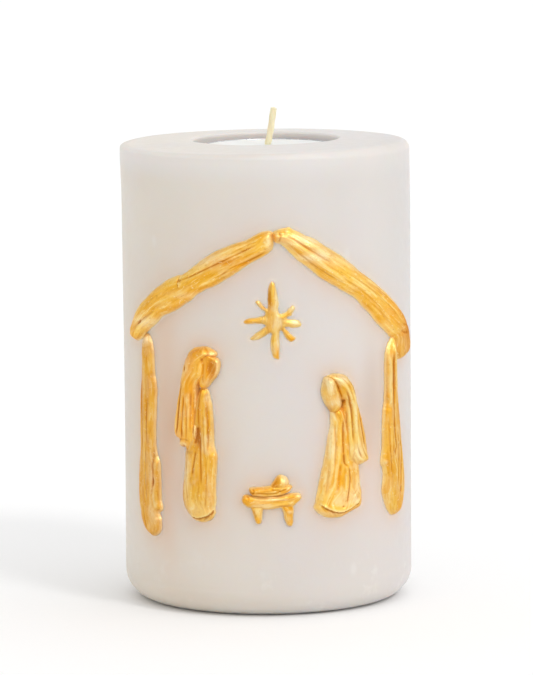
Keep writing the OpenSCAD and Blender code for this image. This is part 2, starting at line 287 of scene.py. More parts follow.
def gold_paint(name, pale=0.0, tone=(1, 1, 1), dull=0.0):
    """Satin gold paint brushed along the piece: orange and pale streaks, painted brown shade in the
    hollows, painted highlights on the ridges and along the edge, and dry-brushed flecks; the pale and deep
    orange spots are partly painted highlights and shade. tone tints the whole piece and dull takes off its
    gloss."""
    mat, shader, add, link = new_material(name)
    grain = attribute(add, "grain", "Vector")
    crease, ridge, light, deep, rim = (attribute(add, key)
                                       for key in ("crease", "ridge", "light", "deep", "rim"))
    broad = fractal(add, scaled(add, grain, (0.09, 0.45, 1)), 1.0, 3, 0.55)
    streak = fractal(add, scaled(add, grain, (0.16, 1.5, 1)), 1.0, 3, 0.6)
    hair = fractal(add, scaled(add, grain, (0.5, 4.5, 1)), 1.0, 3, 0.6)
    fleck = fractal(add, scaled(add, grain, (1.1, 2.0, 1)), 1.0, 3, 0.65)
    patch = fractal(add, scaled(add, grain, (0.2, 0.3, 1)), 1.0, 2)
    paler = plus(add, times(add, remap(add, patch, 0.47, 0.68), 0.22 + pale), light)
    strengths_and_colours = (
        (times(add, remap(add, streak, 0.52, 0.68), 0.65), (0.74, 0.31, 0.010)),
        (times(add, remap(add, streak, 0.47, 0.33), 0.7), (1.0, 0.76, 0.27)),
        # Pale patches, and the light spots: paler paint and painted highlights
        (times(add, paler, remap(add, hair, 0.70, 0.35, 0.6, 1.0), clamp=True), (0.97, 0.79, 0.45)),
        # Deep spots: deeper orange paint and painted shade
        (times(add, deep, remap(add, streak, 0.35, 0.6, 0.6, 1.0), clamp=True), (0.92, 0.40, 0.006)),
        # Painted highlight on the ridges
        (times(add, ridge, 0.6, clamp=True), (1.0, 0.83, 0.36)),
        # Painted brown shade in the hollows and under lifted edges
        (times(add, crease, 0.8, clamp=True), (0.50, 0.17, 0.010)),
        (times(add, remap(add, fleck, 0.58, 0.70), 0.4), (0.60, 0.24, 0.012)),
        (times(add, remap(add, fleck, 0.40, 0.28), 0.6), (1.0, 0.88, 0.50)),
        # Painted pale highlight along the edge
        (times(add, rim, 0.75, clamp=True), (1.0, 0.80, 0.42)))
    colour = mix(add, remap(add, broad, 0.38, 0.62), (0.87, 0.42, 0.018), (0.94, 0.56, 0.075))
    for strength, over in strengths_and_colours:
        colour = mix(add, strength, colour, over)
    colour = mix(add, 1.0, colour, tone, "MULTIPLY")
    link(colour, "Base Color")
    rough = remap(add, hair, 0.3, 0.7, 0.32 + dull, 0.48 + dull)
    link(plus(add, rough, times(add, crease, 0.45)), "Roughness")
    shader.inputs["Metallic"].default_value = 0.68
    shader.inputs["Specular IOR Level"].default_value = 0.5
    relief = plus(add, times(add, streak, 1.6), times(add, hair, 0.5))
    relief = plus(add, relief, times(add, fleck, 0.8))
    bumpy(add, link, relief, 1.0, 0.00014)
    return mat


def slug_wax():
    mat, shader, add, link = new_material("tealight_wax")
    coords = coords_in_mm(add)
    cloud = remap(add, fractal(add, coords, 0.18, 4), 0.35, 0.65)
    link(mix(add, cloud, (0.84, 0.855, 0.82), (0.88, 0.885, 0.855)), "Base Color")
    link(remap(add, fractal(add, coords, 0.7, 3), 0.3, 0.7, 0.3, 0.45), "Roughness")
    bumpy(add, link, fractal(add, coords, 1.2, 4), 0.15, 0.0002)
    let_light_in(shader, 0.7, (0.004, 0.0035, 0.003))
    return mat


def foil():
    mat, shader, add, link = new_material("cup_foil")
    coords = coords_in_mm(add)
    rolled = fractal(add, scaled(add, coords, (0.2, 0.2, 1.2)), 1.0, 2)
    link(mix(add, rolled, (0.60, 0.60, 0.62), (0.76, 0.76, 0.78)), "Base Color")
    link(remap(add, fractal(add, coords, 0.35, 2), 0.3, 0.7, 0.20, 0.34), "Roughness")
    bumpy(add, link, fractal(add, coords, 0.25, 2), 0.25, 0.0002)
    shader.inputs["Metallic"].default_value = 1.0
    return mat


def steel():
    mat, shader, add, link = new_material("sustainer_steel")
    coords = coords_in_mm(add)
    brushed = fractal(add, scaled(add, coords, (6, 0.6, 6)), 1.0, 4)
    link(mix(add, brushed, (0.50, 0.50, 0.49), (0.68, 0.68, 0.67)), "Base Color")
    link(remap(add, brushed, 0.3, 0.7, 0.3, 0.5), "Roughness")
    shader.inputs["Metallic"].default_value = 1.0
    return mat


def waxed_cotton():
    mat, shader, add, link = new_material("wick_cord")
    coords = coords_in_mm(add)
    fibre = fractal(add, scaled(add, coords, (5, 5, 1.2)), 1.0, 4)
    colour = mix(add, fibre, (0.84, 0.74, 0.47), (0.93, 0.86, 0.62))
    # Painted shade in the valleys between the strands
    colour = mix(add, times(add, attribute(add, "valley"), 0.3), colour, (0.72, 0.60, 0.34))
    link(colour, "Base Color")
    link(remap(add, fibre, 0.3, 0.7, 0.5, 0.75), "Roughness")
    bumpy(add, link, fibre, 0.4, 0.0001)
    let_light_in(shader, 0.3, (0.0015, 0.001, 0.0006))
    return mat


# ---------------------------------------------------------------- mesh helpers

def make_piece(name, points_mm, faces, material, body, slot, *nodes, attributes=None):
    """A smooth-shaded piece from points in millimetres, riding on a body in place of CAD nodes."""
    mesh = bpy.data.meshes.new(name)
    mesh.from_pydata([tuple(p) for p in np.asarray(points_mm) * MM], [], faces)
    mesh.polygons.foreach_set("use_smooth", [True] * len(mesh.polygons))
    for key, values in (attributes or {}).items():
        values = np.asarray(values, float)
        kind = "FLOAT" if values.ndim == 1 else "FLOAT_VECTOR"
        layer = mesh.attributes.new(key, kind, "POINT")
        layer.data.foreach_set("value" if kind == "FLOAT" else "vector", values.ravel())
    mesh.update()
    piece = bpy.data.objects.new(name, mesh)
    bpy.context.scene.collection.objects.link(piece)
    mesh.materials.append(material)
    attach(piece, body)
    if nodes:
        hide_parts(*nodes)


def arc(x, y, r, start, stop, steps):
    """Points of an arc in degrees, both ends included."""
    turns = np.radians(np.linspace(start, stop, steps + 1))
    return [(x + r * math.cos(t), y + r * math.sin(t)) for t in turns]


def skin(rings, segments):
    """Faces over rings of points, with a single point before the first ring and after the last one."""
    last = rings * segments + 1
    faces = []
    for j in range(segments):
        k = (j + 1) % segments
        faces.append((0, 1 + k, 1 + j))
        faces.append((last, last - segments + j, last - segments + k))
        for i in range(rings - 1):
            a, b = 1 + i * segments, 1 + (i + 1) * segments
            faces.append((a + j, a + k, b + k, b + j))
    return faces


def lathe(rows, segments):
    """Closed solid of revolution. Each row is (r, z), or a function of the angle array that gives both;
    the first and last rows have radius 0 and become single points."""
    turns = np.linspace(0, TAU, segments, endpoint=False)
    points = [(0, 0, rows[0][1])]
    for row in rows[1:-1]:
        r, z = row(turns) if callable(row) else (row[0] + 0 * turns, row[1] + 0 * turns)
        points += list(np.stack([r * np.sin(turns), -r * np.cos(turns), z], axis=1))
    points.append((0, 0, rows[-1][1]))
    return np.array(points, float), skin(len(rows) - 2, segments)


def smooth_line(points, closed, step):
    """A curve through the points (Catmull-Rom), resampled evenly about every step millimetres."""
    p = np.asarray(points, float)
    n = len(p)
    spans = n if closed else n - 1
    t = np.linspace(0, 1, 12, endpoint=False)[:, None]
    out = []
    for i in range(spans):
        if closed:
            a, b, c, d = p[(i - 1) % n], p[i], p[(i + 1) % n], p[(i + 2) % n]
        else:
            a, b, c, d = p[max(i - 1, 0)], p[i], p[i + 1], p[min(i + 2, n - 1)]
        out.append(0.5 * (2 * b + (c - a) * t + (2 * a - 5 * b + 4 * c - d) * t ** 2
                          + (3 * b - a - 3 * c + d) * t ** 3))
    dense = np.concatenate(out + [p[:1] if closed else p[-1:]])
    run = np.concatenate([[0], np.cumsum(np.linalg.norm(np.diff(dense, axis=0), axis=1))])
    count = max(int(run[-1] / step), 4)
    at = np.linspace(0, run[-1], count + 1)
    even = np.stack([np.interp(at, run, dense[:, k]) for k in range(2)], axis=1)
    return even[:-1] if closed else even


def nearest(p, line, closed=False):
    """Distance from each point to a line, how far along it (0 to 1) and on which side (+1 left)."""
    a, b = (line, np.roll(line, -1, axis=0)) if closed else (line[:-1], line[1:])
    d = b - a
    length = np.maximum((d ** 2).sum(1), 1e-12)
    best = np.full(len(p), 1e9)
    along = np.zeros(len(p))
    side = np.ones(len(p))
    chunk = 4000
    for i in range(0, len(p), chunk):
        q = p[i:i + chunk, None, :] - a[None]
        t = np.clip((q * d[None]).sum(2) / length, 0, 1)
        off = q - t[..., None] * d[None]
        dist = np.sqrt((off ** 2).sum(2))
        k = dist.argmin(1)
        r = np.arange(len(k))
        best[i:i + chunk] = dist[r, k]
        along[i:i + chunk] = (k + t[r, k]) / len(a)
        cross = d[k, 0] * q[r, k, 1] - d[k, 1] * q[r, k, 0]
        side[i:i + chunk] = np.where(cross >= 0, 1, -1)
    return best, along, side


def inside(p, line):
    """Even-odd test of points against a closed line."""
    a, b = line, np.roll(line, -1, axis=0)
    crossed = np.zeros(len(p), bool)
    for (x1, y1), (x2, y2) in zip(a, b):
        if y1 == y2:
            continue
        hit = ((y1 > p[:, 1]) != (y2 > p[:, 1])) & (p[:, 0] < (x2 - x1) * (p[:, 1] - y1) / (y2 - y1) + x1)
        crossed ^= hit
    return crossed


def ease(x):
    x = np.clip(x, 0, 1)
    return x * x * (3 - 2 * x)


def wander(p, scale, seed):
    """Smooth noise from -1 to 1 at each two-dimensional point."""
    return np.array([noise.noise(Vector((x * scale[0], y * scale[1], seed))) for x, y in p])


def wrapped(p, height):
    """Unrolled points at a height over the wall, wrapped round the pillar."""
    turn = p[:, 0] / PILLAR_R
    r = PILLAR_R + height
    return np.stack([r * np.sin(turn), -r * np.cos(turn), p[:, 1]], axis=1)


# ---------------------------------------------------------------- tool marks on the relief
# Each maker returns a function of the points that gives the height it adds, in millimetres.

def tapered(along):
    return ease(along / 0.18) * ease((1 - along) / 0.18)


def ridge(route, width, high):
    line = smooth_line(route, False, 0.5)

    def raised(p):
        dist, along, _ = nearest(p, line)
        return 0.75 * high * np.exp(-(dist / width) ** 2) * tapered(along)
    return raised


def groove(route, width, deep):
    return ridge(route, width, -0.7 * deep)


def lip(route, rise, reach):
    """Edge of an upper layer: high on the left of the route, a sharp fall to its right."""
    line = smooth_line(route, False, 0.5)

    def stepped(p):
        dist, along, side = nearest(p, line)
        over = np.where(side > 0, np.exp(-dist / reach), -0.6 * np.exp(-dist / (reach * 0.35)))
        return rise * over * tapered(along)
    return stepped


def dent(at, size, deep, turn=0.0):
    """Oval dent, or a bump where deep is negative; turn tips its long axis in degrees."""
    c, s = math.cos(math.radians(turn)), math.sin(math.radians(turn))

    def pressed(p):
        d = p - np.array(at)
        x, y = d[:, 0] * c + d[:, 1] * s, d[:, 1] * c - d[:, 0] * s
        return -deep * np.exp(-((x / size[0]) ** 2 + (y / size[1]) ** 2) ** 1.5)
    return pressed


def spots(p, places):
    """Sum of soft oval spots at the points; each place is a centre, two half sizes and an amount."""
    total = np.zeros(len(p))
    for at, size, amount in places:
        total += amount * np.exp(-(((p - np.array(at)) / np.array(size)) ** 2).sum(1))
    return total


def sculpt_edge(node, seed):
    """The ragged outline of a piece, anticlockwise, and its unit directions inwards."""
    edge = smooth_line(OUTLINES[node], True, EDGE_STEP)
    way_out = np.roll(edge, -1, axis=0) - np.roll(edge, 1, axis=0)
    way_out = np.stack([way_out[:, 1], -way_out[:, 0]], axis=1) / np.linalg.norm(way_out, axis=1)[:, None]
    ragged = 0.09 * wander(edge, (0.5, 0.5), seed) + 0.08 * wander(edge, (1.3, 1.3), seed + 1.7)
    edge = edge + way_out * ragged[:, None]
    area = 0.5 * np.sum(edge[:, 0] * np.roll(edge[:, 1], -1) - np.roll(edge[:, 0], -1) * edge[:, 1])
    if area < 0:
        edge = edge[::-1].copy()
    ahead = np.roll(edge, -1, axis=0) - np.roll(edge, 1, axis=0)
    inward = np.stack([-ahead[:, 1], ahead[:, 0]], axis=1) / np.linalg.norm(ahead, axis=1)[:, None]
    return edge - inward * laid(node)[1], inward, abs(area)


def triangulate(points, ring_edges):
    verts, _, faces, *_ = geometry.delaunay_2d_cdt([Vector(v) for v in points], ring_edges, [], 1, 1e-5)
    return np.array([(v.x, v.y) for v in verts]), [tuple(f) for f in faces]


def fill(edge, inward, grid):
    """Triangles inside an edge: rings close to it, and a staggered grid of points further in."""
    low, high = edge.min(0), edge.max(0)
    xs, ys = np.arange(low[0], high[0], grid), np.arange(low[1], high[1], grid * 0.87)
    middle = np.array([(x + (grid / 2 if j % 2 else 0), y) for j, y in enumerate(ys) for x in xs])
    candidates = np.concatenate([edge + inward * inset for inset in RING_INSETS] + [middle])
    least = np.concatenate([np.full(len(edge), inset * 0.85) for inset in RING_INSETS]
                           + [np.full(len(middle), RING_INSETS[-1] + grid * 0.45)])
    keep = inside(candidates, edge) & (nearest(candidates, edge, True)[0] >= least)
    return triangulate(np.concatenate([edge, candidates[keep]]), closed_ring(len(edge)))


def closed_ring(count):
    return [(i, (i + 1) % count) for i in range(count)]


def brushed(p, edge, tips, area):
    """How far each point is from one side to the other, 0 to 1, and its place along the brushing."""
    start, stop = (int(((edge - np.array(tip)) ** 2).sum(1).argmin()) for tip in tips)
    chain = np.roll(edge, -start, axis=0)
    split = (stop - start) % len(edge)
    one, two = chain[:split + 1], np.concatenate([chain[split:], chain[:1]])
    d_one, d_two = nearest(p, one)[0], nearest(p, two)[0]
    across = d_one / np.maximum(d_one + d_two, 1e-6)
    way = np.array(tips[1], float) - np.array(tips[0], float)
    length = np.linalg.norm(way)
    along = (p - np.array(tips[0])) @ (way / length)
    return across, np.stack([along, across * area / length], axis=1)


def evened(values, faces, rounds=14):
    """Values smoothed over the mesh, by averaging each point with its neighbours."""
    corners = np.array(faces)
    pairs = np.concatenate([corners[:, [0, 1]], corners[:, [1, 2]], corners[:, [2, 0]]])
    one, two = np.unique(np.sort(pairs, axis=1), axis=0).T
    size = len(values)
    count = np.bincount(one, minlength=size) + np.bincount(two, minlength=size)
    for _ in range(rounds):
        total = np.bincount(one, values[two], size) + np.bincount(two, values[one], size)
        values = 0.5 * values + 0.5 * total / np.maximum(count, 1)
    return values


def sculpt(name, node, thick, rim, marks, tips, paint, streak=0.07, seed=0.0, grid=0.24, light=(),
           deep=(), dark=(), lift=(), flow_of=None, calm=1.0):
    """A relief piece: thick in the middle, rounded over rim at its edge, worked with marks, and brushed
    along the way from one tip to the other, or along flow_of. light spots are paler paint and painted
    highlights, deep spots are deeper orange paint and painted shade, and dark spots are painted shade;
    lift raises the edge where the piece lies over another one, and calm scales all the tool work."""
    edge, inward, area = sculpt_edge(node, seed)
    p, top_faces = fill(edge, inward, grid)
    d = nearest(p, edge, True)[0]
    across, flow = brushed(p, edge, tips, area)
    if flow_of:
        flow = flow_of(p)

    # The body: rounded over its rim, a little thinner at both sides, lifted where it overlaps a piece
    t = np.clip(d / (rim * 1.2), 0, 1)
    raised = np.minimum(spots(p, lift), thick * 0.75)
    body = (thick - raised) * np.maximum(1 - (1 - t) ** 2, 0) ** 0.85 + raised * ease(d / 0.3)
    body *= 0.86 + 0.14 * np.sin(np.pi * np.clip(across, 0, 1))
    # The work on it: tool marks and three sizes of brushing, fading out at the edge
    work = np.zeros(len(p))
    for mark in marks:
        work += mark(p)
    for amount, scale, offset in ((0.14, (0.10, 0.35), 3.1), (streak * 1.2, (0.07, 0.8), 7.7),
                                  (streak * 0.7, (0.14, 1.7), 11.3)):
        work += amount * wander(flow, scale, seed + offset)
    work *= calm
    fade = ease(d / 0.7)
    height = body + work * (0.15 + 0.85 * fade)
    height = np.maximum(height, 0.12 * ease(d / 0.15))
    on_rim = d < 1e-4
    height[on_rim] = RIM_HEIGHT

    # Painted shade in the hollows, where the height is below that of its surroundings, and at the foot of
    # a lifted edge; painted highlights on the ridges, where it is above
    worked = work * fade
    hollow = evened(worked, top_faces) - worked
    foot = np.exp(-np.maximum(d - 0.1, 0) / 0.35) * 0.5
    crease = np.clip(hollow / 0.18, 0, 1) + foot * np.clip(raised, 0, 1) + spots(p, dark)
    crest_highlight = np.clip(-hollow / 0.16, 0, 1) * (1 - foot)
    # Painted pale highlight along the rim, to make up for the shade at the steep edge
    rim_highlight = np.exp(-(d / 0.32) ** 2) * np.clip(1 - raised - 1.5 * spots(p, dark), 0, 1)

    # The back: the same outline a little inside the wax, joined to the rim
    n, back = len(edge), len(p)
    at_edge = {int(((edge - p[i]) ** 2).sum(1).argmin()): int(i) for i in np.where(on_rim)[0]}
    ring = [at_edge.get(i) for i in range(n)]
    back_points, back_faces = triangulate(edge, closed_ring(n))
    if len(back_points) != n or None in ring:
        raise RuntimeError(f"{name}: the outline crosses itself")
    faces = top_faces + [tuple(back + i for i in f[::-1]) for f in back_faces]
    faces += [(ring[k], ring[i], back + i, back + k) for i, k in closed_ring(n)]
    place = np.array((laid(node)[0], 0.0))
    points = np.concatenate([wrapped(p + place, height), wrapped(edge + place, np.full(n, BACK_HEIGHT))])

    grain = np.column_stack([flow, np.full(len(p), seed * 5.3)])
    values = {"crease": np.clip(crease, 0, 1), "ridge": crest_highlight, "rim": rim_highlight,
              "deep": np.clip(spots(p, deep), 0, 1), "light": np.clip(spots(p, light), 0, 1)}
    attributes = {key: np.concatenate([value, np.zeros(n)]) for key, value in values.items()}
    attributes["grain"] = np.concatenate([grain, np.zeros((n, 3))])
    make_piece(name, points, faces, paint, "pillar", "gold_paint", node, attributes=attributes)


# ---------------------------------------------------------------- the relief

EDGE_STEP = 0.32  # spacing of the points along an outline
RING_INSETS = (0.06, 0.16, 0.3)  # rings of points just inside it
RIM_HEIGHT = -0.45  # where the face meets the wall, sunk a little into the wax
BACK_HEIGHT = -1.0  # the hidden back of a piece, inside the wax

OUTLINES = {
    "roof_beam_left": [(1.2, 105.9), (0, 106), (-2, 105.4), (-4, 104.3), (-6, 103.3), (-8, 102.7),
        (-12, 101.2), (-16, 99.2), (-20, 96.3), (-24, 93.6), (-25.4, 93.3), (-29, 92), (-32, 90.2),
        (-35, 88.5), (-38, 86.3), (-40, 85), (-42, 83.2), (-44, 80.7), (-45.7, 78), (-46, 76),
        (-45.3, 74.8), (-43.4, 74.4), (-41, 75.2), (-39.5, 76.4), (-36.6, 78.5), (-34.5, 79.8), (-32, 82),
        (-29.7, 83), (-26.2, 84.5), (-23.8, 86), (-21.5, 87.4), (-20, 88.8), (-17, 90.5), (-14, 91.8),
        (-11, 93.6), (-8, 95.5), (-5, 97.6), (-2, 99.2), (0, 100.4), (1.2, 101.6), (1.6, 103),
        (1.5, 104.6)],
    "roof_beam_right": [(1.0, 106.1), (3, 106.9), (5.4, 107.3), (6.6, 106.7), (8.3, 105.9), (10.2, 104.8),
        (11.8, 104.3), (14.2, 102.8), (17, 101), (20, 99.2), (23.5, 96.7), (26.6, 94.2), (30, 92.1),
        (34.2, 89.3), (38, 86.8), (42.1, 83.8), (45.2, 81.4), (47.6, 78.8), (49.1, 76.3), (49.4, 74),
        (49.3, 71.4), (48.3, 69.4), (46, 68.3), (43.8, 68.1), (42.2, 69), (41.2, 70.2), (40.8, 72),
        (40.2, 74.2), (38.6, 75.4), (35.9, 77.3), (33.8, 78.8), (31.9, 80.4), (29.9, 82.5), (27.6, 84.3),
        (25.7, 86.2), (23.8, 87.6), (20, 89.7), (18, 90.9), (14.2, 93.1), (12.1, 94.8), (9.9, 96.6),
        (7.8, 98.1), (6.1, 99.8), (4.2, 101.7), (3, 102.7), (1.5, 103.2), (0.9, 104.8)],
    "post_left": [(-38.4, 75.8), (-39.3, 73), (-39.3, 68), (-39.5, 64), (-40, 60), (-40.3, 50),
        (-40.3, 45), (-40.8, 42), (-41.3, 38), (-41.4, 34), (-41.2, 30), (-40.5, 26.5), (-40, 24.6),
        (-38.5, 22.4), (-37, 21.3), (-35.2, 20.8), (-33.4, 21.5), (-32.2, 23.1), (-32.2, 25.5),
        (-32.7, 27.5), (-31.5, 28.6), (-32, 31), (-32.1, 34), (-32.2, 40), (-32.7, 42), (-33.4, 43.3),
        (-34, 46), (-34, 50), (-33.8, 54), (-33.5, 58), (-33.3, 61), (-33.5, 63), (-34.2, 66),
        (-34.4, 70), (-34.8, 73), (-35.5, 75), (-36.5, 76.2), (-37.5, 76.4)],
    "post_right": [(39.1, 74.5), (37.6, 73), (36.7, 71.5), (36.2, 70), (36, 66), (36, 62), (35.7, 57.8),
        (35.3, 56), (34.9, 54), (34.7, 50), (34.6, 47), (34.4, 44), (33.8, 40.6), (34.6, 39),
        (34.9, 36.5), (34.3, 33), (34.7, 31), (35.6, 29), (36.8, 27.1), (38.3, 25.7), (40, 25.3),
        (41.8, 25.5), (43.2, 26.8), (44.3, 29), (45, 32), (45.2, 35), (45, 38), (44.6, 41), (44, 44),
        (43.3, 47), (42.8, 50), (42.3, 53), (41.8, 57), (41.3, 61), (41.2, 68), (40.8, 71), (40.3, 74),
        (39.9, 75.5)],
    "left_figure_mantle": [(-18.7, 74.6), (-20.5, 74.2), (-22, 73.1), (-23.1, 71.5), (-23.7, 70),
        (-24.4, 67.7), (-24.9, 65), (-25.4, 62), (-26.2, 57.7), (-26.8, 54.2), (-27, 51.5), (-26.7, 49.8),
        (-26, 48.8), (-25.3, 48.6), (-25.2, 47.2), (-24.5, 46.6), (-23, 46.8), (-22.3, 46), (-21.2, 46.5),
        (-20.2, 47.6), (-19.4, 49.1), (-18.9, 50.5), (-18.7, 52.5), (-19.1, 54), (-19.3, 58), (-19, 62.5),
        (-18.5, 64.2), (-17.3, 65.2), (-16.2, 66.5), (-16.3, 69), (-16, 70.6), (-15, 71.6), (-14, 72),
        (-13.6, 72.7), (-14, 73.4), (-15.2, 74.1), (-17, 74.7)],
    "left_figure_head": [(-14.3, 72.1), (-13.1, 71.2), (-12.7, 70), (-12.9, 68.5), (-13.6, 66.9),
        (-14.5, 65.7), (-15.5, 64.6), (-16.5, 63.4), (-18, 63), (-19, 65), (-18.6, 69), (-17.6, 71.8),
        (-16, 72.8)],
    "left_figure_robe": [(-16.4, 62.8), (-15.8, 61), (-15.2, 58.7), (-15, 56), (-14.8, 53), (-14.7, 48),
        (-14.4, 46.8), (-13.9, 45), (-13.9, 43), (-14.3, 38), (-14.4, 32), (-14.7, 30.3), (-14.6, 29),
        (-15.3, 27.5), (-16.3, 26.8), (-18, 26.2), (-19.3, 26.2), (-20.6, 26.6), (-22, 27.4), (-23.5, 29),
        (-24.5, 31), (-24.8, 33.5), (-24.7, 36), (-24.3, 39), (-24, 42), (-23.8, 45), (-23.2, 48.5),
        (-22, 54), (-20, 61), (-18, 64)],
    "right_figure_veil": [(16.4, 66.5), (18, 66.8), (19.5, 66.8), (21, 66.6), (22.6, 65.9), (23.7, 64.5),
        (24.7, 63), (25.3, 61), (25.7, 59), (26.3, 56.8), (26.9, 55), (27.4, 53.2), (27.9, 51),
        (28.3, 49.1), (28.6, 47), (28.9, 45), (29.4, 43.2), (29.2, 42), (28.3, 41.5), (27, 41.1),
        (25.5, 41), (24.1, 41), (23, 41.4), (22, 41.8), (21.3, 42.3), (20.8, 43.5), (20.6, 45),
        (20.7, 50), (20.5, 54), (20.6, 57), (20.7, 58.9), (20, 59.8), (19.1, 61), (18.1, 63),
        (17.4, 64.7), (16.7, 66)],
    "right_figure_head": [(16.6, 66.3), (15.6, 66), (15.1, 64.8), (14.8, 63.5), (14.6, 62.3),
        (14.9, 60.8), (15.5, 59.3), (16.3, 58), (17, 57), (17.6, 56.2), (19.2, 56), (20.8, 58),
        (20.6, 61), (19.6, 64), (18.2, 66)],
    "right_figure_robe": [(17.5, 57), (17.4, 53), (17, 51.3), (16.6, 49.5), (16.2, 47.4), (15.7, 45),
        (15.3, 43), (14.8, 41), (14.2, 38.4), (13.6, 35.8), (13.1, 33.5), (12.7, 31.7), (12.3, 30.4),
        (13.2, 29.2), (14.7, 28.1), (16.2, 27.4), (18, 27.2), (20.6, 27.2), (22.2, 27.8), (24.1, 28.6),
        (25.9, 29.1), (27.2, 30.2), (27.4, 33.5), (27, 35.5), (26.7, 38), (26.6, 40), (25.9, 43),
        (24, 49), (22, 56), (20, 58)],
    "manger_trough": [(-7.3, 33), (-7, 34), (-6.4, 34.4), (-5.3, 34.4), (-3, 34), (0, 34.2), (3, 34.2),
        (5.4, 34.7), (6.9, 34.8), (8.1, 34.9), (9, 34.3), (9, 33.2), (8.2, 32.3), (7.2, 31.3),
        (6.2, 30.7), (3.4, 30.6), (0.8, 30.3), (-1.4, 30.2), (-4.3, 30.5), (-5.9, 30.9), (-7, 31.9)],
    "manger_leg_left": [(-4.8, 31.4), (-4.4, 29.6), (-3.9, 27.7), (-3.5, 26.6), (-2.8, 26.2), (-2, 26.6),
        (-1.7, 28), (-1.4, 30), (-1.2, 31.4)],
    "manger_leg_right": [(3.3, 31.6), (3.9, 29.6), (4.4, 27.2), (5.1, 25.9), (6, 25.5), (6.7, 26.2),
        (6.8, 28.6), (6.6, 31.6)],
    "infant_body": [(-4.9, 34.6), (-5.3, 36), (-4.6, 36.5), (-2.4, 36.6), (0.2, 36.9), (2, 37.4),
        (4.4, 37.2), (5.8, 37.2), (6.6, 36.7), (6.1, 35.6), (4.8, 34.6), (2.4, 34), (-1.4, 33.7),
        (-4, 34)],
    "infant_head": [(0.2, 36.4), (1.1, 37.8), (2, 39.2), (3.1, 39.9), (4.4, 39.6), (5.4, 38.7),
        (5.7, 37.6), (5.3, 36.4), (4.2, 35.7), (2.4, 35.5), (0.8, 35.6)],
    "star": [(3.5, 84.4), (3.5, 86.5), (3.2, 88.9), (2.8, 91.1), (2.3, 92.3), (1.6, 92.7), (1.1, 92),
        (0.7, 90.8), (0.5, 88.4), (0.5, 86), (0.2, 85.3), (-0.8, 86.3), (-1.6, 87.3), (-2.3, 87.5),
        (-2.9, 87), (-2.3, 86.1), (-1.3, 85.1), (-0.3, 84.3), (-0.5, 83.4), (-1.6, 83.2), (-2.8, 82.8),
        (-4.5, 82.7), (-5.6, 82.2), (-6.2, 81.6), (-5.6, 81), (-4, 81), (-2.8, 81.1), (-1, 81),
        (-0.2, 80.5), (-1.1, 79.8), (-2.4, 78.9), (-3.6, 77.9), (-4.4, 77.2), (-3.9, 76.7), (-2.3, 76.8),
        (-0.4, 77.6), (0.9, 78.5), (1.5, 78.3), (1.2, 76.9), (1.1, 75), (1.5, 73), (2.1, 71.7), (3, 71.3),
        (3.6, 71.7), (3.7, 75), (3.7, 78.4), (4.1, 79.2), (4.6, 78.3), (5.3, 77.2), (6, 76.4), (6.9, 76),
        (7.8, 76.5), (8, 77.2), (7.1, 78), (6.1, 79), (5.2, 80), (6, 80.1), (7.6, 79.9), (9.2, 80.1),
        (9.7, 80.9), (9, 81.8), (7.5, 82.3), (5.8, 82.4), (6, 83), (7, 83.2), (7.3, 84), (8, 85.2),
        (7.3, 86.1), (6.5, 85.6), (5.8, 84.8), (5, 84.1), (4.1, 83.9)],
}
STAR_AT = np.array((1.7, 81.5))
# How far a piece is laid aside of its outline, along the front, and how far it spreads past it
LAID = {"roof_beam_left": (0.0, 0.4), "roof_beam_right": (0.7, 0.0), "post_left": (-0.8, 0.2),
        "post_right": (1.1, 0.0), "star": (-0.3, 0.0)}
STAR_TIPS = [(1.7, 91.8), (-2.3, 87), (-5.4, 81.7), (-3.8, 77.2), (2.7, 72.2), (7, 76.9), (8.6, 81),
             (7, 85)]
# The pieces that throw painted bounce light and shade on the wall beside them
LIGHTING_THE_WALL = ("roof_beam_left", "roof_beam_right", "post_left", "post_right", "left_figure_mantle",
           "left_figure_robe", "right_figure_veil", "right_figure_robe", "manger_trough", "infant_body")


def laid(node):
    return LAID.get(node, (0.0, 0.0))


def star_flow(p):
    """Brushed up and down through the middle of the star, and outwards along the side rays."""
    q = p - STAR_AT
    far = np.hypot(q[:, 0], q[:, 1])
    rays = np.array(STAR_TIPS) - STAR_AT
    rays /= np.linalg.norm(rays, axis=1)[:, None]
    mine = (q @ rays.T).argmax(1)
    aside = q[:, 0] * rays[mine, 1] - q[:, 1] * rays[mine, 0]
    along_ray = np.stack([far, aside + 3.0 * mine], axis=1)
    upright = (np.abs(q[:, 0]) < 1.9) | (far < 2.8)
    return np.where(upright[:, None], q[:, ::-1], along_ray)


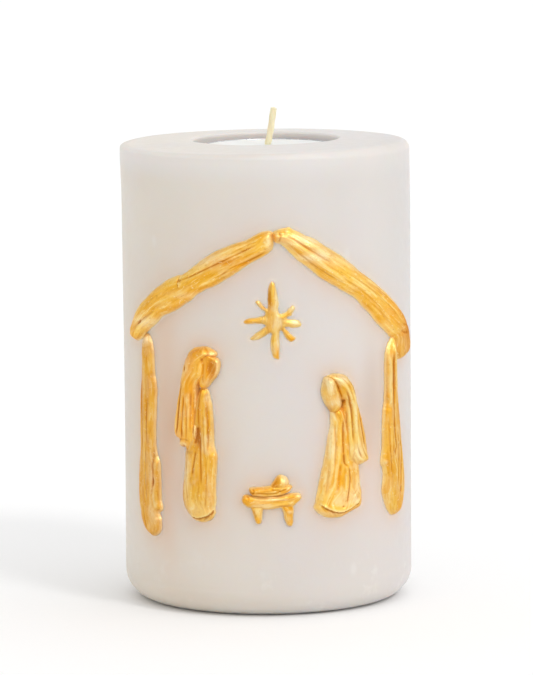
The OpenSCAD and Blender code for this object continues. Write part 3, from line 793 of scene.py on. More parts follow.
def sculpt_roof_beam_left(paint):
    sculpt("roof_left", "roof_beam_left", 2.1, 2.0, [
        groove([(-24.4, 92.1), (-20, 94), (-14, 97), (-10, 99), (-6, 101), (-2, 103)], 0.26, 0.8),
        lip([(-24.3, 94.2), (-24.6, 92.2), (-24, 90.2)], 0.35, 1.6),
        dent((-24.3, 92.3), (0.7, 0.5), 0.5, 25),
        groove([(-15, 96), (-12, 97.4), (-9, 98.6), (-6, 100.2)], 0.5, 0.5),
        groove([(-13, 93.7), (-9, 96.5), (-4, 98.8), (0.5, 101.3)], 0.26, 0.6),
        groove([(-17, 92), (-11, 95), (-4, 98.4)], 0.2, 0.35),
        groove([(-12, 98.6), (-7, 101.6), (-2, 104)], 0.2, 0.3),
        ridge([(-20, 90.2), (-14, 93.4), (-8, 97.2), (0, 102)], 0.7, 0.35),
        ridge([(-23, 94.4), (-16, 98), (-9, 101.6), (-1, 105)], 0.6, 0.3),
        ridge([(-43.5, 76), (-38, 78.6), (-31, 83.6), (-24, 87)], 1.0, 0.35),
        groove([(-42.5, 77.3), (-39.5, 79.7), (-36, 81.6), (-32, 84)], 0.35, 0.35),
        dent((-39.4, 79.8), (1.0, 0.5), 0.6, 35),
        groove([(-44.5, 79), (-40, 83), (-34, 86.6), (-28, 89.6)], 0.3, 0.15),
        groove([(-43.8, 77.2), (-41.6, 80.4), (-37, 84)], 0.24, 0.15),
        dent((0.6, 103.8), (1.0, 2.0), -0.35, -10),
    ], ((1.4, 103.6), (-45.6, 75.2)), paint, 0.10, 1.0, calm=0.7,
        light=[((-16, 98.6), (7, 1.6), 0.75), ((-36, 79.8), (7, 1.6), 0.6),
               ((0.7, 103.6), (1.0, 2.2), 0.8), ((-22, 88.4), (6, 1), 0.4)],
        deep=[((-9, 98.2), (5, 1.6), 0.9), ((-31, 88.4), (7, 2.6), 0.35), ((-6, 97.4), (6, 0.8), 0.6),
              ((-43.6, 79.4), (1.6, 2.6), 0.5)],
        dark=[((-10.4, 98), (3.4, 0.9), 0.4), ((-5.6, 101.2), (2.6, 0.8), 0.25)])


def sculpt_roof_beam_right(paint):
    sculpt("roof_right", "roof_beam_right", 2.3, 2.3, [
        groove([(3.8, 105.4), (7, 103.7), (12, 100.1), (17, 97)], 0.4, 0.6),
        ridge([(4, 104), (8, 101.6), (12, 98.7), (16, 95.4), (22, 91)], 0.5, 0.5),
        groove([(7, 101), (12, 96.8), (18, 92.6)], 0.24, 0.4),
        ridge([(5, 106.2), (10, 103.4), (17, 99), (24, 94.6)], 1.2, 0.4),
        groove([(9, 104.6), (15, 101), (22, 96.6)], 0.22, 0.2),
        groove([(12, 101.6), (19, 97), (27, 91.6)], 0.22, 0.2),
        groove([(18, 98.2), (26, 92.8), (34, 87.4), (41, 82)], 0.22, 0.25),
        groove([(20, 95), (28, 89.8), (36, 84), (42.5, 78.5)], 0.22, 0.3),
        groove([(21, 92.4), (29, 86.6), (36, 80.6)], 0.22, 0.25),
        groove([(24, 89.6), (31, 84), (37.6, 78.4)], 0.22, 0.2),
        groove([(30, 90.6), (38, 84.6), (44, 79)], 0.2, 0.25),
        ridge([(22, 96.3), (30, 90.6), (38, 84.8), (45, 79)], 0.5, 0.25),
        groove([(41.6, 76.8), (43.2, 75.8), (45.5, 75.6)], 0.35, 0.5),
        groove([(42.4, 78.4), (45, 77.6), (47.6, 77.4)], 0.25, 0.3),
        groove([(2.6, 106.2), (2.9, 104.6), (2.5, 103.4)], 0.22, 0.5),
        groove([(3.8, 106.6), (4, 105.4), (3.6, 104.2)], 0.2, 0.15), dent((4.6, 106.4), (0.5, 0.4), -0.3),
        dent((1.9, 105.4), (0.5, 0.7), -0.3), dent((45.2, 72), (2.6, 3), -0.3),
    ], ((2, 105), (46.5, 68.6)), paint, 0.11, 2.0, calm=0.65,
        light=[((9, 104), (7, 1.6), 1.0), ((20, 97.4), (8, 1.4), 0.4), ((45, 71.8), (3, 3.4), 0.3),
               ((10, 99), (6, 1), 0.7), ((13.6, 100), (3, 1.6), 0.6)],
        deep=[((45.4, 78.6), (2.4, 3.4), 0.9), ((38, 82), (5, 3), 0.5), ((6, 104.2), (2.4, 0.7), 0.5),
              ((42.6, 75.6), (2, 0.8), 0.7), ((48.4, 73), (0.9, 4), 0.7)],
        dark=[((46.6, 78.4), (1.8, 3.4), 0.5), ((43.4, 81.8), (3, 1.8), 0.3), ((48.8, 73), (0.8, 4), 0.4),
              ((46, 75), (4.5, 8), 0.72)])


def sculpt_post_left(paint):
    sculpt("post_left_wax", "post_left", 2.0, 2.0, [
        groove([(-35.3, 60), (-36, 52), (-35.7, 45)], 0.24, 0.45),
        groove([(-37.6, 70), (-38, 62), (-37.6, 50), (-38, 42)], 0.24, 0.4),
        groove([(-36.2, 46), (-36.6, 38), (-36, 30)], 0.24, 0.35),
        groove([(-39.2, 58), (-39.4, 48), (-39.6, 36)], 0.24, 0.3),
        ridge([(-36.4, 72), (-36.7, 60), (-37, 48), (-37, 36)], 0.5, 0.25),
        groove([(-34.2, 46), (-33.7, 38), (-34.2, 31)], 0.26, 0.5), dent((-33.7, 36), (0.4, 1.2), 0.4),
        dent((-33, 40.6), (0.5, 1.4), -0.35), dent((-32.8, 30), (0.5, 1), -0.3),
        groove([(-37.8, 30), (-37.2, 26), (-35.9, 22.3)], 0.26, 0.35),
        groove([(-39, 73.6), (-36.8, 72.8), (-35, 73.4)], 0.22, 0.2),
    ], ((-37.2, 76.3), (-35.4, 20.8)), paint, 0.08, 3.0, calm=0.7,
        light=[((-37.4, 74.8), (2.4, 1.4), 0.9), ((-34, 38), (0.8, 8), 0.4), ((-34, 26), (1.4, 4), 0.35)],
        deep=[((-38, 56), (1.4, 12), 0.35), ((-36, 28), (1.6, 5), 0.3)])


def sculpt_post_right(paint):
    sculpt("post_right_wax", "post_right", 2.1, 2.0, [
        ridge([(37, 71), (36.9, 63), (36.7, 55)], 0.4, 0.5),
        ridge([(38.7, 73), (38.6, 66), (38.8, 59)], 0.35, 0.45),
        groove([(38, 72), (37.9, 64), (37.9, 56), (38.3, 48), (39.6, 41)], 0.26, 0.7),
        groove([(40, 70), (40, 60), (40.8, 50), (41.6, 42), (41.3, 33)], 0.26, 0.5),
        groove([(36, 54), (36.2, 46), (37, 36)], 0.24, 0.35),
        groove([(39.4, 50), (40, 42), (39.4, 32)], 0.22, 0.35),
        groove([(42.4, 46), (43, 40), (42.6, 32)], 0.22, 0.3), dent((38.4, 43.4), (0.4, 1), 0.4),
        dent((40.8, 45.3), (0.3, 0.8), 0.35), dent((41.3, 32.5), (0.5, 0.9), 0.4),
        dent((34.6, 40.8), (0.5, 0.7), -0.1),
    ], ((39.9, 75.3), (40, 25.3)), paint, 0.09, 4.0,
        light=[((37, 62), (0.5, 8), 0.5), ((38.7, 65), (0.4, 7), 0.6), ((34.7, 40.6), (0.6, 0.8), 0.7),
               ((36, 30), (0.9, 4), 0.3)],
        deep=[((36, 52), (1, 12), 0.6), ((42, 34), (1.6, 6), 0.5), ((40.4, 58), (0.6, 8), 0.4),
              ((38.6, 67), (2.4, 7), 0.5)])


def sculpt_left_figure_robe(paint):
    sculpt("left_robe_wax", "left_figure_robe", 2.2, 2.2, [
        lip([(-14.2, 30.9), (-16.2, 28.6), (-18.5, 27.7), (-20, 27.6), (-22, 28.2), (-23.6, 29.8)],
            -0.45, 0.9),
        groove([(-18.7, 53), (-19.1, 50.4), (-19.7, 47.6)], 0.45, 0.7),
        groove([(-18.4, 61.5), (-18.6, 57), (-18.5, 53)], 0.3, 0.3),
        groove([(-19.4, 46.4), (-20, 43), (-20.6, 39)], 0.28, 0.5),
        groove([(-18, 51), (-18.1, 44), (-17.9, 36)], 0.26, 0.4),
        groove([(-16.6, 60), (-16.2, 53), (-16.2, 45)], 0.26, 0.4),
        groove([(-17.3, 57), (-17.2, 50), (-17, 44)], 0.22, 0.3),
        ridge([(-15.7, 60), (-15.3, 54), (-15.2, 48)], 0.35, 0.35),
        ridge([(-14.8, 46), (-14.6, 43), (-14.8, 39)], 0.4, 0.25),
        groove([(-22.4, 44), (-22.6, 38), (-21.9, 31)], 0.3, 0.25),
        groove([(-16.4, 41), (-16.6, 35), (-17, 30)], 0.25, 0.25),
        ridge([(-20.8, 37), (-21, 33), (-20, 29.5)], 0.7, 0.2),
    ], ((-17.6, 63.6), (-19, 26.2)), paint, 0.10, 5.0,
        light=[((-22.8, 40), (1.3, 8), 0.7), ((-19, 29.4), (4.5, 2.6), 0.35), ((-15.6, 35), (1, 5), 0.35)],
        deep=[((-18.2, 57), (0.9, 5), 1.0), ((-18.8, 49.5), (0.9, 3), 1.0), ((-18.4, 42), (2, 5), 0.55),
              ((-14.6, 44.5), (0.6, 2), 0.8)],
        dark=[((-18.5, 50), (0.8, 3), 1.2), ((-21.6, 45.6), (1.4, 0.5), 0.5),
              ((-18.5, 57), (0.3, 5), 0.25)])


def sculpt_left_figure_head(paint):
    sculpt("left_head_wax", "left_figure_head", 2.3, 0.7, [
        dent((-14.9, 69), (1.5, 2.9), 0.6, -6),
        ridge([(-14, 71.6), (-13, 70.4), (-13.1, 68.6), (-14, 66.6), (-15.4, 65)], 0.22, 0.3),
        groove([(-16.9, 70.8), (-17.2, 67.6), (-17.2, 64.6)], 0.3, 0.3),
    ], ((-15, 72.5), (-16.6, 63.4)), paint, 0.05, 6.0, grid=0.2,
        light=[((-13.3, 69.4), (0.45, 2.6), 0.8), ((-16, 65), (1, 1), 0.3)],
        dark=[((-15, 69), (1.1, 2.4), 0.6)],
        lift=[((-14, 66), (1.6, 2.6), 0.6)])


def sculpt_left_figure_mantle(paint):
    sculpt("left_mantle_wax", "left_figure_mantle", 2.9, 2.0, [
        groove([(-23.4, 66), (-24.1, 58), (-25, 49.4)], 0.28, 0.7),
        groove([(-22.4, 62), (-23, 55), (-23.3, 48.5)], 0.26, 0.5),
        ridge([(-24.5, 62), (-25.6, 56), (-26.2, 50.6)], 0.5, 0.25),
        ridge([(-19.4, 63), (-19.6, 58), (-19.4, 52), (-19.6, 49)], 0.28, 0.8),
        groove([(-20.6, 63), (-20.8, 57), (-20.7, 51)], 0.3, 0.4),
        groove([(-21.7, 60), (-21.8, 54), (-21.9, 48)], 0.26, 0.35),
        groove([(-20.4, 73.2), (-18.6, 73.7), (-16.8, 73.2)], 0.3, 0.15),
        groove([(-17.6, 72.4), (-17.1, 69), (-17.9, 65.4)], 0.3, 0.4),
        ridge([(-13.8, 72.6), (-15.2, 72.3), (-16.2, 70.6)], 0.3, 0.15),
        dent((-22.4, 68.6), (0.4, 0.9), 0.35),
        ridge([(-24.4, 47.4), (-23, 48), (-21.8, 47.2)], 0.4, 0.35),
        groove([(-24.6, 48.8), (-22.6, 49.2), (-21, 48.6)], 0.25, 0.25),
    ], ((-17.6, 74.6), (-23.2, 46.6)), paint, 0.10, 7.0,
        light=[((-19.4, 56), (0.4, 7), 1.0), ((-22, 70), (2, 3), 0.4), ((-23.4, 47.5), (1.6, 0.8), 0.8),
               ((-15, 72.8), (1.4, 0.6), 0.6)],
        deep=[((-25.2, 62), (0.9, 9), 0.7), ((-20.4, 60), (0.5, 6), 0.5), ((-19.8, 71), (2.5, 2.5), 0.3),
              ((-21, 65), (1.6, 4), 0.4)],
        lift=[((-19, 58), (1.1, 6.5), 0.9), ((-19.6, 50), (1.2, 3), 1.8), ((-22, 46.6), (2, 1), 1.6),
              ((-15.4, 72.8), (1.6, 1), 0.6)])


def sculpt_right_figure_robe(paint):
    sculpt("right_robe_wax", "right_figure_robe", 2.3, 2.1, [
        lip([(13.2, 31.9), (15.4, 30.3), (17.5, 29.3), (19.8, 28.9), (22.4, 29.6), (24.6, 30.9),
             (26.2, 32.6)], 0.55, 1.0),
        groove([(19.6, 42.6), (19.2, 39), (18.6, 34)], 0.5, 0.5),
        groove([(21.8, 42), (22.3, 38), (21.9, 34), (21.2, 30.4)], 0.28, 0.6),
        groove([(20.3, 45), (20.6, 42.4), (21.8, 41.2)], 0.3, 0.5),
        groove([(20.4, 55), (20.2, 49), (20.4, 44)], 0.3, 0.5),
        groove([(18.2, 54), (18.2, 48), (17.6, 41)], 0.24, 0.3),
        groove([(16.6, 44), (15.8, 38), (15, 33)], 0.24, 0.25),
        ridge([(17, 53), (17, 44), (16.2, 36)], 0.7, 0.35),
        ridge([(20.9, 40), (20.9, 36), (20.2, 32)], 0.5, 0.35),
        ridge([(24.2, 39), (24.6, 36), (23.6, 32)], 0.6, 0.3),
        ridge([(25.4, 38), (25.7, 35), (25.3, 32)], 0.3, 0.25),
        groove([(23, 33), (24.2, 34.4), (25.2, 37)], 0.22, 0.3), dent((20.2, 30.4), (0.3, 0.3), 0.2),
        dent((24.8, 30.6), (0.5, 0.4), 0.4),
    ], ((18.6, 57.6), (19.4, 27.2)), paint, 0.09, 8.0,
        light=[((17.2, 50), (1, 7), 0.8), ((15.6, 38), (1.2, 6), 0.35), ((24.6, 35.4), (1.5, 4), 0.7),
               ((17.6, 28.6), (4, 0.8), 0.5)],
        deep=[((19.2, 38), (1.0, 4), 0.9), ((20.4, 47), (0.6, 5), 0.7), ((19, 29.6), (5, 0.6), 0.3)],
        dark=[((20, 57.2), (0.9, 1.2), 0.7), ((20.6, 43.6), (0.5, 1.6), 0.5),
              ((20.5, 50), (0.35, 5), 0.35)])


def sculpt_right_figure_head(paint):
    sculpt("right_head_wax", "right_figure_head", 2.7, 1.7, [
        ridge([(16.3, 65.4), (16.4, 63.2), (17, 61)], 0.6, 0.3),
    ], ((17, 66.2), (18.2, 56.2)), paint, 0.06, 9.0, grid=0.2,
        light=[((16.6, 63.8), (1.2, 2.4), 0.95), ((17.2, 59), (1.4, 1.6), 0.6)],
        deep=[((14.9, 62), (0.5, 2.4), 0.6)],
        lift=[((18, 57), (2, 1.6), 0.7)])


def sculpt_right_figure_veil(paint):
    sculpt("right_veil_wax", "right_figure_veil", 3.0, 1.9, [
        groove([(22.6, 64.6), (24.4, 60), (25.2, 54.5), (26, 49.5), (27, 44.6)], 0.28, 0.7),
        groove([(20.2, 64), (22, 59.6), (22.6, 54), (23, 47)], 0.28, 0.55),
        groove([(21.5, 58), (21.5, 52), (21.8, 46), (22.3, 42.8)], 0.26, 0.5),
        ridge([(19, 65.6), (21.2, 62.6), (23.2, 57), (24, 50), (24.6, 44.6)], 0.45, 0.45),
        groove([(23.9, 52), (24.2, 47), (25.6, 43.2)], 0.26, 0.45),
        groove([(25.2, 50), (26, 46), (27.6, 42.6)], 0.24, 0.4),
        ridge([(26, 56), (27.4, 50), (28.5, 44)], 0.35, 0.35),
        ridge([(23.4, 46), (24.6, 43.6), (26.6, 42.4)], 0.35, 0.35),
        groove([(18, 65.6), (18.9, 63), (20.3, 60)], 0.28, 0.6),
        groove([(19.6, 66), (21.4, 64), (23, 60.6)], 0.22, 0.3), dent((20.8, 59.2), (0.5, 0.5), 0.6),
    ], ((18.6, 66.9), (25, 41)), paint, 0.10, 10.0,
        light=[((19.8, 65.4), (2.4, 1.2), 1.0), ((24.6, 45), (2.2, 3), 0.8), ((23.6, 56), (0.5, 5), 0.7)],
        deep=[((25.6, 56), (0.6, 8), 0.7), ((21.2, 49), (0.5, 6), 0.6), ((22, 60), (0.5, 3), 0.4)],
        dark=[((20.9, 58.8), (0.5, 0.6), 0.7), ((21, 44), (0.5, 1), 0.4), ((26.3, 57), (0.4, 6), 0.4),
              ((28.4, 49), (0.4, 5), 0.35), ((19, 63), (0.4, 2.6), 0.3)],
        lift=[((20.6, 50), (1, 8), 1.3), ((22.6, 41.6), (2.4, 1), 1.4), ((19, 62), (1, 3), 1.2)])


def sculpt_manger_leg_left(paint):
    sculpt("manger_leg_left_wax", "manger_leg_left", 1.1, 0.7, [
        groove([(-3.9, 30.2), (-3.2, 28)], 0.2, 0.2),
    ], ((-2.9, 31.4), (-2.8, 26.7)), paint, 0.04, 11.0, grid=0.2,
        light=[((-3.2, 29.8), (0.6, 0.9), 0.5)],
        deep=[((-2.6, 27.4), (0.8, 0.9), 0.9), ((-4.1, 29.4), (0.3, 1.2), 0.6)])


def sculpt_manger_leg_right(paint):
    sculpt("manger_leg_right_wax", "manger_leg_right", 1.1, 0.7, [
        ridge([(4.8, 29.6), (5.8, 29.8), (6.4, 29.5)], 0.25, 0.2),
    ], ((5, 31.6), (5.9, 26.2)), paint, 0.04, 12.0, calm=0.6, grid=0.2,
        light=[((5.8, 29.6), (0.8, 0.5), 0.7)],
        deep=[((5.9, 26.8), (0.8, 0.6), 0.6)])


def sculpt_infant_body(paint):
    sculpt("infant_wax", "infant_body", 1.9, 0.9, [
        groove([(-4.6, 35.1), (-2, 34.9), (1.4, 34.9), (4, 35.8), (5.8, 36.8)], 0.22, 0.6),
        ridge([(-3, 35.9), (-1, 35.8), (0.8, 36)], 0.4, 0.2),
        ridge([(-3.6, 34.4), (0, 34.3), (3.6, 34.7), (5.8, 36)], 0.3, 0.15),
        groove([(-4.2, 36.3), (-3.7, 35.4), (-4.3, 34.6)], 0.22, 0.5),
        groove([(0.6, 36.2), (1.6, 35.7), (3.4, 35.6)], 0.25, 0.4), dent((-4.8, 36), (0.4, 0.3), -0.2),
    ], ((-5.3, 35.4), (6.5, 36.6)), paint, 0.08, 13.0, grid=0.2, calm=0.7,
        light=[((-4.2, 36.4), (0.6, 0.3), 0.7), ((5.4, 36.3), (0.9, 0.6), 0.5)],
        deep=[((-2, 35.9), (2.4, 0.7), 0.9)],
        dark=[((-4.6, 35), (0.7, 0.7), 0.5), ((-1.6, 36), (2.2, 0.4), 0.25)],
        lift=[((0, 34.1), (4.6, 0.5), 0.8)])


def sculpt_infant_head(paint):
    sculpt("infant_head_wax", "infant_head", 2.3, 1.7, [
        dent((2, 37.4), (1, 1.4), 0.3, -30),
    ], ((3.3, 40.4), (3, 35.6)), paint, 0.12, 14.0, grid=0.2,
        light=[((4.6, 38.8), (0.9, 1.6), 1.0), ((3.8, 39.9), (1, 0.5), 0.7)],
        deep=[((2, 37.6), (1.2, 1.6), 1.0), ((2.4, 39.2), (0.6, 0.8), 0.5)],
        dark=[((1.8, 36.8), (0.8, 0.9), 0.4)],
        lift=[((3, 35.8), (2.4, 0.8), 1.0)])


def sculpt_manger_trough(paint):
    sculpt("trough_wax", "manger_trough", 1.5, 0.9, [
        groove([(-5, 33.8), (-2, 33.4), (1, 33.5), (4, 33.9)], 0.2, 0.4),
        ridge([(-2, 33.1), (1.6, 33.2), (5.4, 33.9)], 0.3, 0.12),
        groove([(-3, 32.4), (1, 32.5), (5, 33)], 0.22, 0.2),
        groove([(-5.6, 34.2), (-5.1, 33.4), (-5.3, 32.6)], 0.22, 0.3),
        ridge([(5.4, 31.8), (6.6, 32.8), (7.4, 34)], 0.4, 0.12), dent((8.2, 34.2), (0.8, 0.6), -0.2),
    ], ((-7.3, 33), (9, 34)), paint, 0.08, 15.0, grid=0.2, calm=0.6,
        light=[((8.3, 34.3), (0.9, 0.7), 1.0), ((2, 33.2), (3.4, 0.35), 0.7),
               ((-1, 31.2), (4, 0.6), 0.35)],
        deep=[((-6.3, 33.4), (1, 0.8), 0.7), ((-0.4, 32.2), (3, 0.6), 0.3), ((7.2, 33), (0.6, 0.8), 0.6)],
        dark=[((-5.6, 33.9), (0.5, 0.5), 0.4)],
        lift=[((-0.5, 34.3), (4.5, 0.6), 0.8)])


def sculpt_star(paint):
    rays = [ridge([STAR_AT + (np.array(tip) - STAR_AT) * u for u in (0.5, 0.75, 0.97)], 0.4, 0.08)
            for tip in STAR_TIPS]
    sculpt("star_wax", "star", 0.95, 1.0, rays + [
        dent((-0.2, 85.5), (0.35, 0.5), 0.5, 50), dent((-0.8, 83.4), (0.5, 0.3), 0.4, 30),
        ridge([(2.6, 91), (3, 88.6), (2.9, 86)], 0.3, 0.15),
        groove([(1.2, 90.6), (1.2, 88), (1.2, 86)], 0.3, 0.15),
        groove([(-1.8, 86.7), (-0.7, 85.4)], 0.2, 0.3),
    ], ((1.5, 92.6), (2.9, 71.3)), paint, 0.04, 16.0, grid=0.2, flow_of=star_flow, calm=0.5,
        light=[((2, 81.6), (3.6, 3), 0.3), ((2.9, 88.4), (0.5, 3.4), 1.0), ((8, 81.3), (1.6, 0.9), 0.9),
               ((7, 85.2), (1.2, 1), 0.7), ((3.2, 75.6), (0.4, 2.4), 0.7), ((-2.6, 77.6), (2, 1), 0.5)],
        deep=[((3.2, 72.8), (0.7, 2), 1.0), ((-5.3, 81.7), (1.2, 0.8), 0.9),
              ((7.3, 76.8), (0.9, 0.7), 1.0), ((0.9, 88.4), (0.5, 3), 0.7), ((1.7, 92), (0.7, 0.8), 0.5),
              ((-2.5, 86.8), (0.5, 0.6), 0.6)],
        dark=[((-0.3, 85.9), (0.4, 0.4), 0.7), ((-0.7, 83.5), (0.5, 0.3), 0.8),
              ((-5.2, 81.9), (0.5, 0.3), 0.3), ((0.9, 88), (0.6, 3), 0.7), ((4.4, 79.4), (0.3, 0.9), 0.3),
              ((1.6, 81.5), (3, 3), 0.12)])


def make_relief():
    plain = gold_paint("gold_paint")
    pale = gold_paint("gold_paint_pale", 0.3)
    # The post, robe, head and mantle on the left take darker tones: painted shade on the shaded left side
    left_shade = gold_paint("gold_paint_left_shade", tone=(0.86, 0.79, 0.82))
    soft = gold_paint("gold_paint_soft", 0.3, tone=(0.92, 0.90, 0.90))
    warm = gold_paint("gold_paint_warm", 0.1, tone=(0.97, 0.89, 0.82), dull=0.07)
    ruddy = gold_paint("gold_paint_ruddy", 0.05, tone=(0.90, 0.87, 0.82))
    light_veil = gold_paint("gold_paint_veil", 0.1, tone=(0.96, 1.0, 1.04))
    head = gold_paint("gold_paint_head", 0.35, tone=(0.94, 0.96, 1.0))
    dull = gold_paint("gold_paint_dull", 0.1, tone=(0.93, 0.93, 0.93), dull=0.14)
    dim = gold_paint("gold_paint_star", 0.3, tone=(0.90, 0.92, 0.93), dull=0.10)
    sculpt_roof_beam_left(plain)
    sculpt_roof_beam_right(plain)
    sculpt_post_left(left_shade)
    sculpt_post_right(ruddy)
    sculpt_left_figure_robe(soft)
    sculpt_left_figure_head(warm)
    sculpt_left_figure_mantle(warm)
    sculpt_right_figure_robe(pale)
    sculpt_right_figure_head(head)
    sculpt_right_figure_veil(light_veil)
    sculpt_manger_leg_left(dull)
    sculpt_manger_leg_right(dull)
    sculpt_infant_body(dull)
    sculpt_infant_head(dull)
    sculpt_manger_trough(dull)
    sculpt_star(dim)


# ---------------------------------------------------------------- the pillar

def beside_relief(p):
    """How much painted bounce light and shade from the gold a point of the wall takes, and how close to
    the relief it is.
    """
    def from_piece(node):
        aside, spread = laid(node)
        return np.maximum(nearest(p, np.array(OUTLINES[node]) + (aside, 0.0), True)[0] - spread, 0)

    near = np.min([from_piece(node) for node in LIGHTING_THE_WALL], axis=0)
    from_star = from_piece("star")
    # Painted bounce light and shade, strongest right at the relief
    tint = 0.28 * np.exp(-near / 2.0) + 0.25 * np.exp(-near / 0.7) + 0.13 * np.exp(-near / 8)
    # Little of it shows above the roof, and least on the right
    over_roof = ease((p[:, 1] - 98.5 + 0.55 * np.abs(p[:, 0])) / 8)
    tint *= 1 - over_roof * (0.35 + 0.35 * ease(p[:, 0] / 8 + 0.5))
    return tint + 0.2 * np.exp(-from_star), np.exp(-np.minimum(near, from_star) / 0.5)


def make_pillar():
    segments = 400

    def lean(turns):
        """Height of the slightly tilted, uneven top over its nominal height."""
        return 0.42 * np.sin(turns) + 0.07 * np.sin(2 * turns + 0.6) + 0.04 * np.sin(5 * turns)

    def wall(z):
        """The wall is a little out of true, flares at the top left and draws in at the top right."""
        def row(turns):
            right = np.sin(turns)
            r = PILLAR_R + 0.10 * np.sin(2 * turns + z / 31) + 0.05 * np.sin(3 * turns - z / 17)
            r = r + 0.35 * ease((z - 112) / 14) * np.clip(-right, 0, 1)
            r = r - 0.25 * ease((z - 108) / 16) * np.clip(right, 0, 1)
            return r, z + lean(turns) * ease((z - 60) / (PILLAR_H - 60))
        return row

    def corner(turn):
        """Top corner: crisp on the left and well rounded on the right."""
        def row(turns):
            r, _ = wall(PILLAR_H - 2)(turns)
            size = 1.8 + 0.8 * np.sin(turns)
            a = math.radians(turn)
            return r - size * (1 - math.cos(a)), PILLAR_H - size * (1 - math.sin(a)) + lean(turns)
        return row

    crown = 0.8

    def flat(r):
        """The top rises a little towards the well."""
        rise = crown * ease((PILLAR_R - 1 - r) / 15)
        return lambda turns: (r + 0 * turns, PILLAR_H + rise + lean(turns) * r / PILLAR_R
                              + 0.05 * np.sin(3 * turns + r / 4))

    rows = [(0, 0)] + [(r, 0) for r in (8, 20, 28, PILLAR_R - BASE_ROUND)]
    rows += [(r, z) for r, z in arc(PILLAR_R - BASE_ROUND, BASE_ROUND, BASE_ROUND, -84, -6, 14)]
    # Finer where the painted light and shade from the relief fall on the wall
    heights = [np.arange(BASE_ROUND, 18, 1.0), np.arange(18, 110, 0.6), np.arange(110, PILLAR_H - 4, 1.0)]
    rows += [wall(z) for z in np.concatenate(heights)]
    rows += [wall(PILLAR_H - 3.4)] + [corner(t) for t in np.linspace(0, 90, 10)]
    rows += [flat(r) for r in (36.6, 34, 31, 28, 25, 22.6)]
    lip_r = 0.7

    def well_lip(turn):
        a = math.radians(turn)
        return lambda turns: (WELL_R + lip_r + lip_r * math.cos(a) + 0.04 * np.sin(4 * turns),
                              PILLAR_H + crown + lean(turns) * 0.5 - lip_r + lip_r * math.sin(a))

    rows += [well_lip(t) for t in np.linspace(90, 180, 7)]
    rows += [(WELL_R, PILLAR_H - depth) for depth in (3, 6, 10, 14)] + [(WELL_R, WELL_FLOOR + 0.5)]
    rows += [(r, WELL_FLOOR - 0.02) for r in (WELL_R - 0.5, 14, 7)] + [(0, WELL_FLOOR - 0.02)]
    points, faces = lathe(rows, segments)
    turn = np.arctan2(points[:, 0], -points[:, 1])
    unrolled = np.stack([turn * PILLAR_R, points[:, 2]], axis=1)
    on_wall = np.hypot(points[:, 0], points[:, 1]) > PILLAR_R - 3
    beside, halo = beside_relief(unrolled)
    # Painted shade: the narrow strips between the posts and the figures take more of the tint and are
    # darker, as is the wax right of the left robe
    beside += spots(unrolled, [((-30, 48), (4, 26), 0.50), ((-31, 76), (7, 6), 0.12),
                               ((31.5, 50), (3.5, 20), 0.26)])
    shade = spots(unrolled, [((31.5, 59), (4, 13), 0.42), ((-30, 52), (4, 22), 0.22),
                             ((-11, 40), (4, 14), 0.12)])
    make_piece("pillar_wax", points, faces, pillar_wax(), "pillar", "pillar_wax", "pillar_body",
               attributes={"beside": np.clip(beside, 0, 1) * on_wall, "halo": 0.7 * halo * on_wall,
                           "shade": shade * on_wall})


# ---------------------------------------------------------------- the tealight

def make_cup(material):
    """Thin pressed cup: fluted wall, ringed floor and a rolled rim."""
    low, top = CUP_LOW[2], CUP_HIGH[2]
    outer, metal, foot_round, segments = 18.4, 0.3, 1.2, 240
    bead = (CUP_HIGH[0] - CUP_LOW[0]) / 2 - outer
    flutes, flute_deep = 48, 0.24

    def fluted(r, z, deep):
        return lambda turns: (r - deep * (0.5 + 0.5 * np.cos(flutes * turns)), z + 0 * turns)

    rows = [(r, low + rise) for r, rise in ((0, 0.15), (6, 0.15), (6.6, 0), (13, 0), (13.6, 0.15),
                                            (15.4, 0.15), (16, 0))]
    rows += arc(outer - foot_round, low + foot_round, foot_round, -75, 0, 5)
    heights = np.linspace(low + 1.8, top - 2 * bead - 0.3, 10)
    rows += [fluted(outer, z, flute_deep * math.sin(math.pi * i / 9)) for i, z in enumerate(heights)]
    rows += arc(outer, top - bead, bead, -80, 90, 9)
    # Over the rim and down the plain inside
    inner = outer - metal
    rows += arc(inner + 0.1, top - 0.1, 0.1, 90, 180, 3)
    rows += [(inner, z) for z in heights[::-1]]
    rows += arc(outer - foot_round, low + foot_round, foot_round - metal, 0, -80, 5)
    rows += [(r, low + metal) for r in (15, 8, 0)]
    points, faces = lathe(rows, segments)
    make_piece("cup_foil", points + np.array((TEALIGHT_X, 0, 0)), faces, material, "tealight", "cup_foil",
               "tealight_cup")


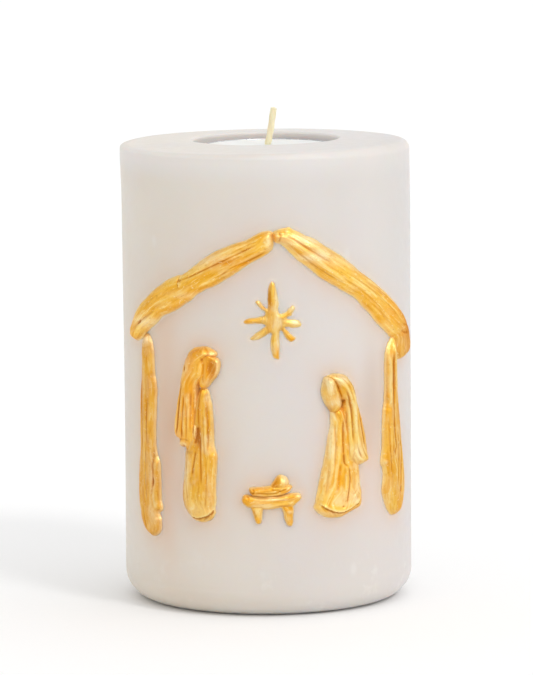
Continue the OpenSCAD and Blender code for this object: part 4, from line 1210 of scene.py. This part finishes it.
def make_slug(material):
    """Wax of the tealight: a soft edge, a slightly dished and rippled top and a climb round the wick."""
    swell = 0.4
    low, top = SLUG_LOW[2], SLUG_HIGH[2] + swell
    r = (SLUG_HIGH[0] - SLUG_LOW[0]) / 2
    foot_round, top_round, segments = 1.2, 1.0, 160
    hole, bore_r, bore_top = 1.1, 1.3, 5.6
    disc_r, disc_thick = 6.6, 0.32

    def surface(radius):
        def row(turns):
            climb = 0.28 * math.exp(-(radius - hole) / 0.7) + 0.05 * ease((radius - 13) / 4)
            dish = -0.12 * (1 - (radius / r) ** 2)
            ripple = 0.02 * np.sin(3 * turns + radius) + 0.015 * np.sin(7 * turns - radius * 0.7)
            return radius + 0 * turns, top + climb + dish + ripple
        return row

    # Underneath, a bore for the sustainer's neck and a recess for its disc
    rows = [(0, low + bore_top), (bore_r, low + bore_top), (bore_r, low + disc_thick)]
    rows += [(disc_r - 0.05, low + disc_thick), (disc_r, low), (12, low)]
    rows += arc(r - foot_round, low + foot_round, foot_round, -80, 0, 5)
    rows += [(r, z) for z in np.linspace(low + 3, top - 2.2, 6)]
    rows += arc(r - top_round, top - top_round, top_round, 0, 80, 7)
    rows += [surface(q) for q in (16.2, 15, 13, 10.5, 8, 5.5, 3.6, 2.4, 1.8, 1.4, 1.2, hole)]
    rows += [(hole, top - 0.6), (hole, top - 3), (0, top - 3)]
    points, faces = lathe(rows, segments)
    make_piece("slug_wax", points + np.array((TEALIGHT_X, 0, 0)), faces, material, "wax_charge",
               "tealight_wax", "tealight_wax")


def make_wick(material):
    """Waxed cord of three strands: upright in the wax, then leaning, and cut almost square at its tip."""
    lean = math.radians(10)
    radius, free, twist = 0.86, 10.6, 0.35
    bend = SLUG_HIGH[2] + 0.4  # where it comes out of the wax
    foot = np.array((TEALIGHT_X, 0, SLUG_LOW[2] + 0.4))
    path = [foot + np.array((0, 0, z)) for z in np.linspace(0, bend - foot[2] - 3, 14)]
    start = np.array((TEALIGHT_X - 0.22, 0, bend))
    for t in np.linspace(0, 1, 60):
        sway = 0.12 * math.sin(t * 5.2)
        run = free * t
        tilt = lean * ease(np.array(t / 0.12)) if t < 0.12 else lean
        step = (math.sin(tilt) * run + sway * t, 0.08 * math.sin(t * 4), math.cos(tilt) * run)
        path.append(start + np.array(step))
    path = np.array(path)
    run = np.concatenate([[0], np.cumsum(np.linalg.norm(np.diff(path, axis=0), axis=1))])
    at = np.linspace(0, run[-1], 190)
    path = np.stack([np.interp(at, run, path[:, k]) for k in range(3)], axis=1)
    # The three strands twist along the path, and the valleys between them get painted shade
    sides = 36
    turns = np.linspace(0, TAU, sides, endpoint=False)
    points, valley = [path[0]], [0]
    for i, centre in enumerate(path):
        way = path[min(i + 1, len(path) - 1)] - path[max(i - 1, 0)]
        way /= np.linalg.norm(way)
        x = np.cross((0, 1, 0), way)
        x /= np.linalg.norm(x)
        y = np.cross(way, x)
        left = run[-1] - at[i]
        pinch = math.sqrt(min(1, max(left, 0.03) / 0.2)) * (1 + 0.04 * math.sin(at[i] * 1.7))
        strand = np.abs(np.cos(1.5 * (turns + at[i] * twist)))
        r = radius * pinch * (1.0 + 0.05 * strand)
        points += list(centre + np.outer(r * np.cos(turns), x) + np.outer(r * np.sin(turns), y))
        valley += list(1 - strand)
    points.append(path[-1] + way * 0.05)
    valley.append(0)
    faces = skin(len(path), sides)
    make_piece("wick_cord", points, faces, material, "wax_charge", "wick_cord", "wick",
               attributes={"valley": valley})


make_camera()
make_stage()
make_pillar()
make_relief()
make_cup(foil())
make_slug(slug_wax())
make_wick(waxed_cotton())
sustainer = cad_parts["wick_sustainer"]
sustainer.data.materials.clear()
sustainer.data.materials.append(steel())
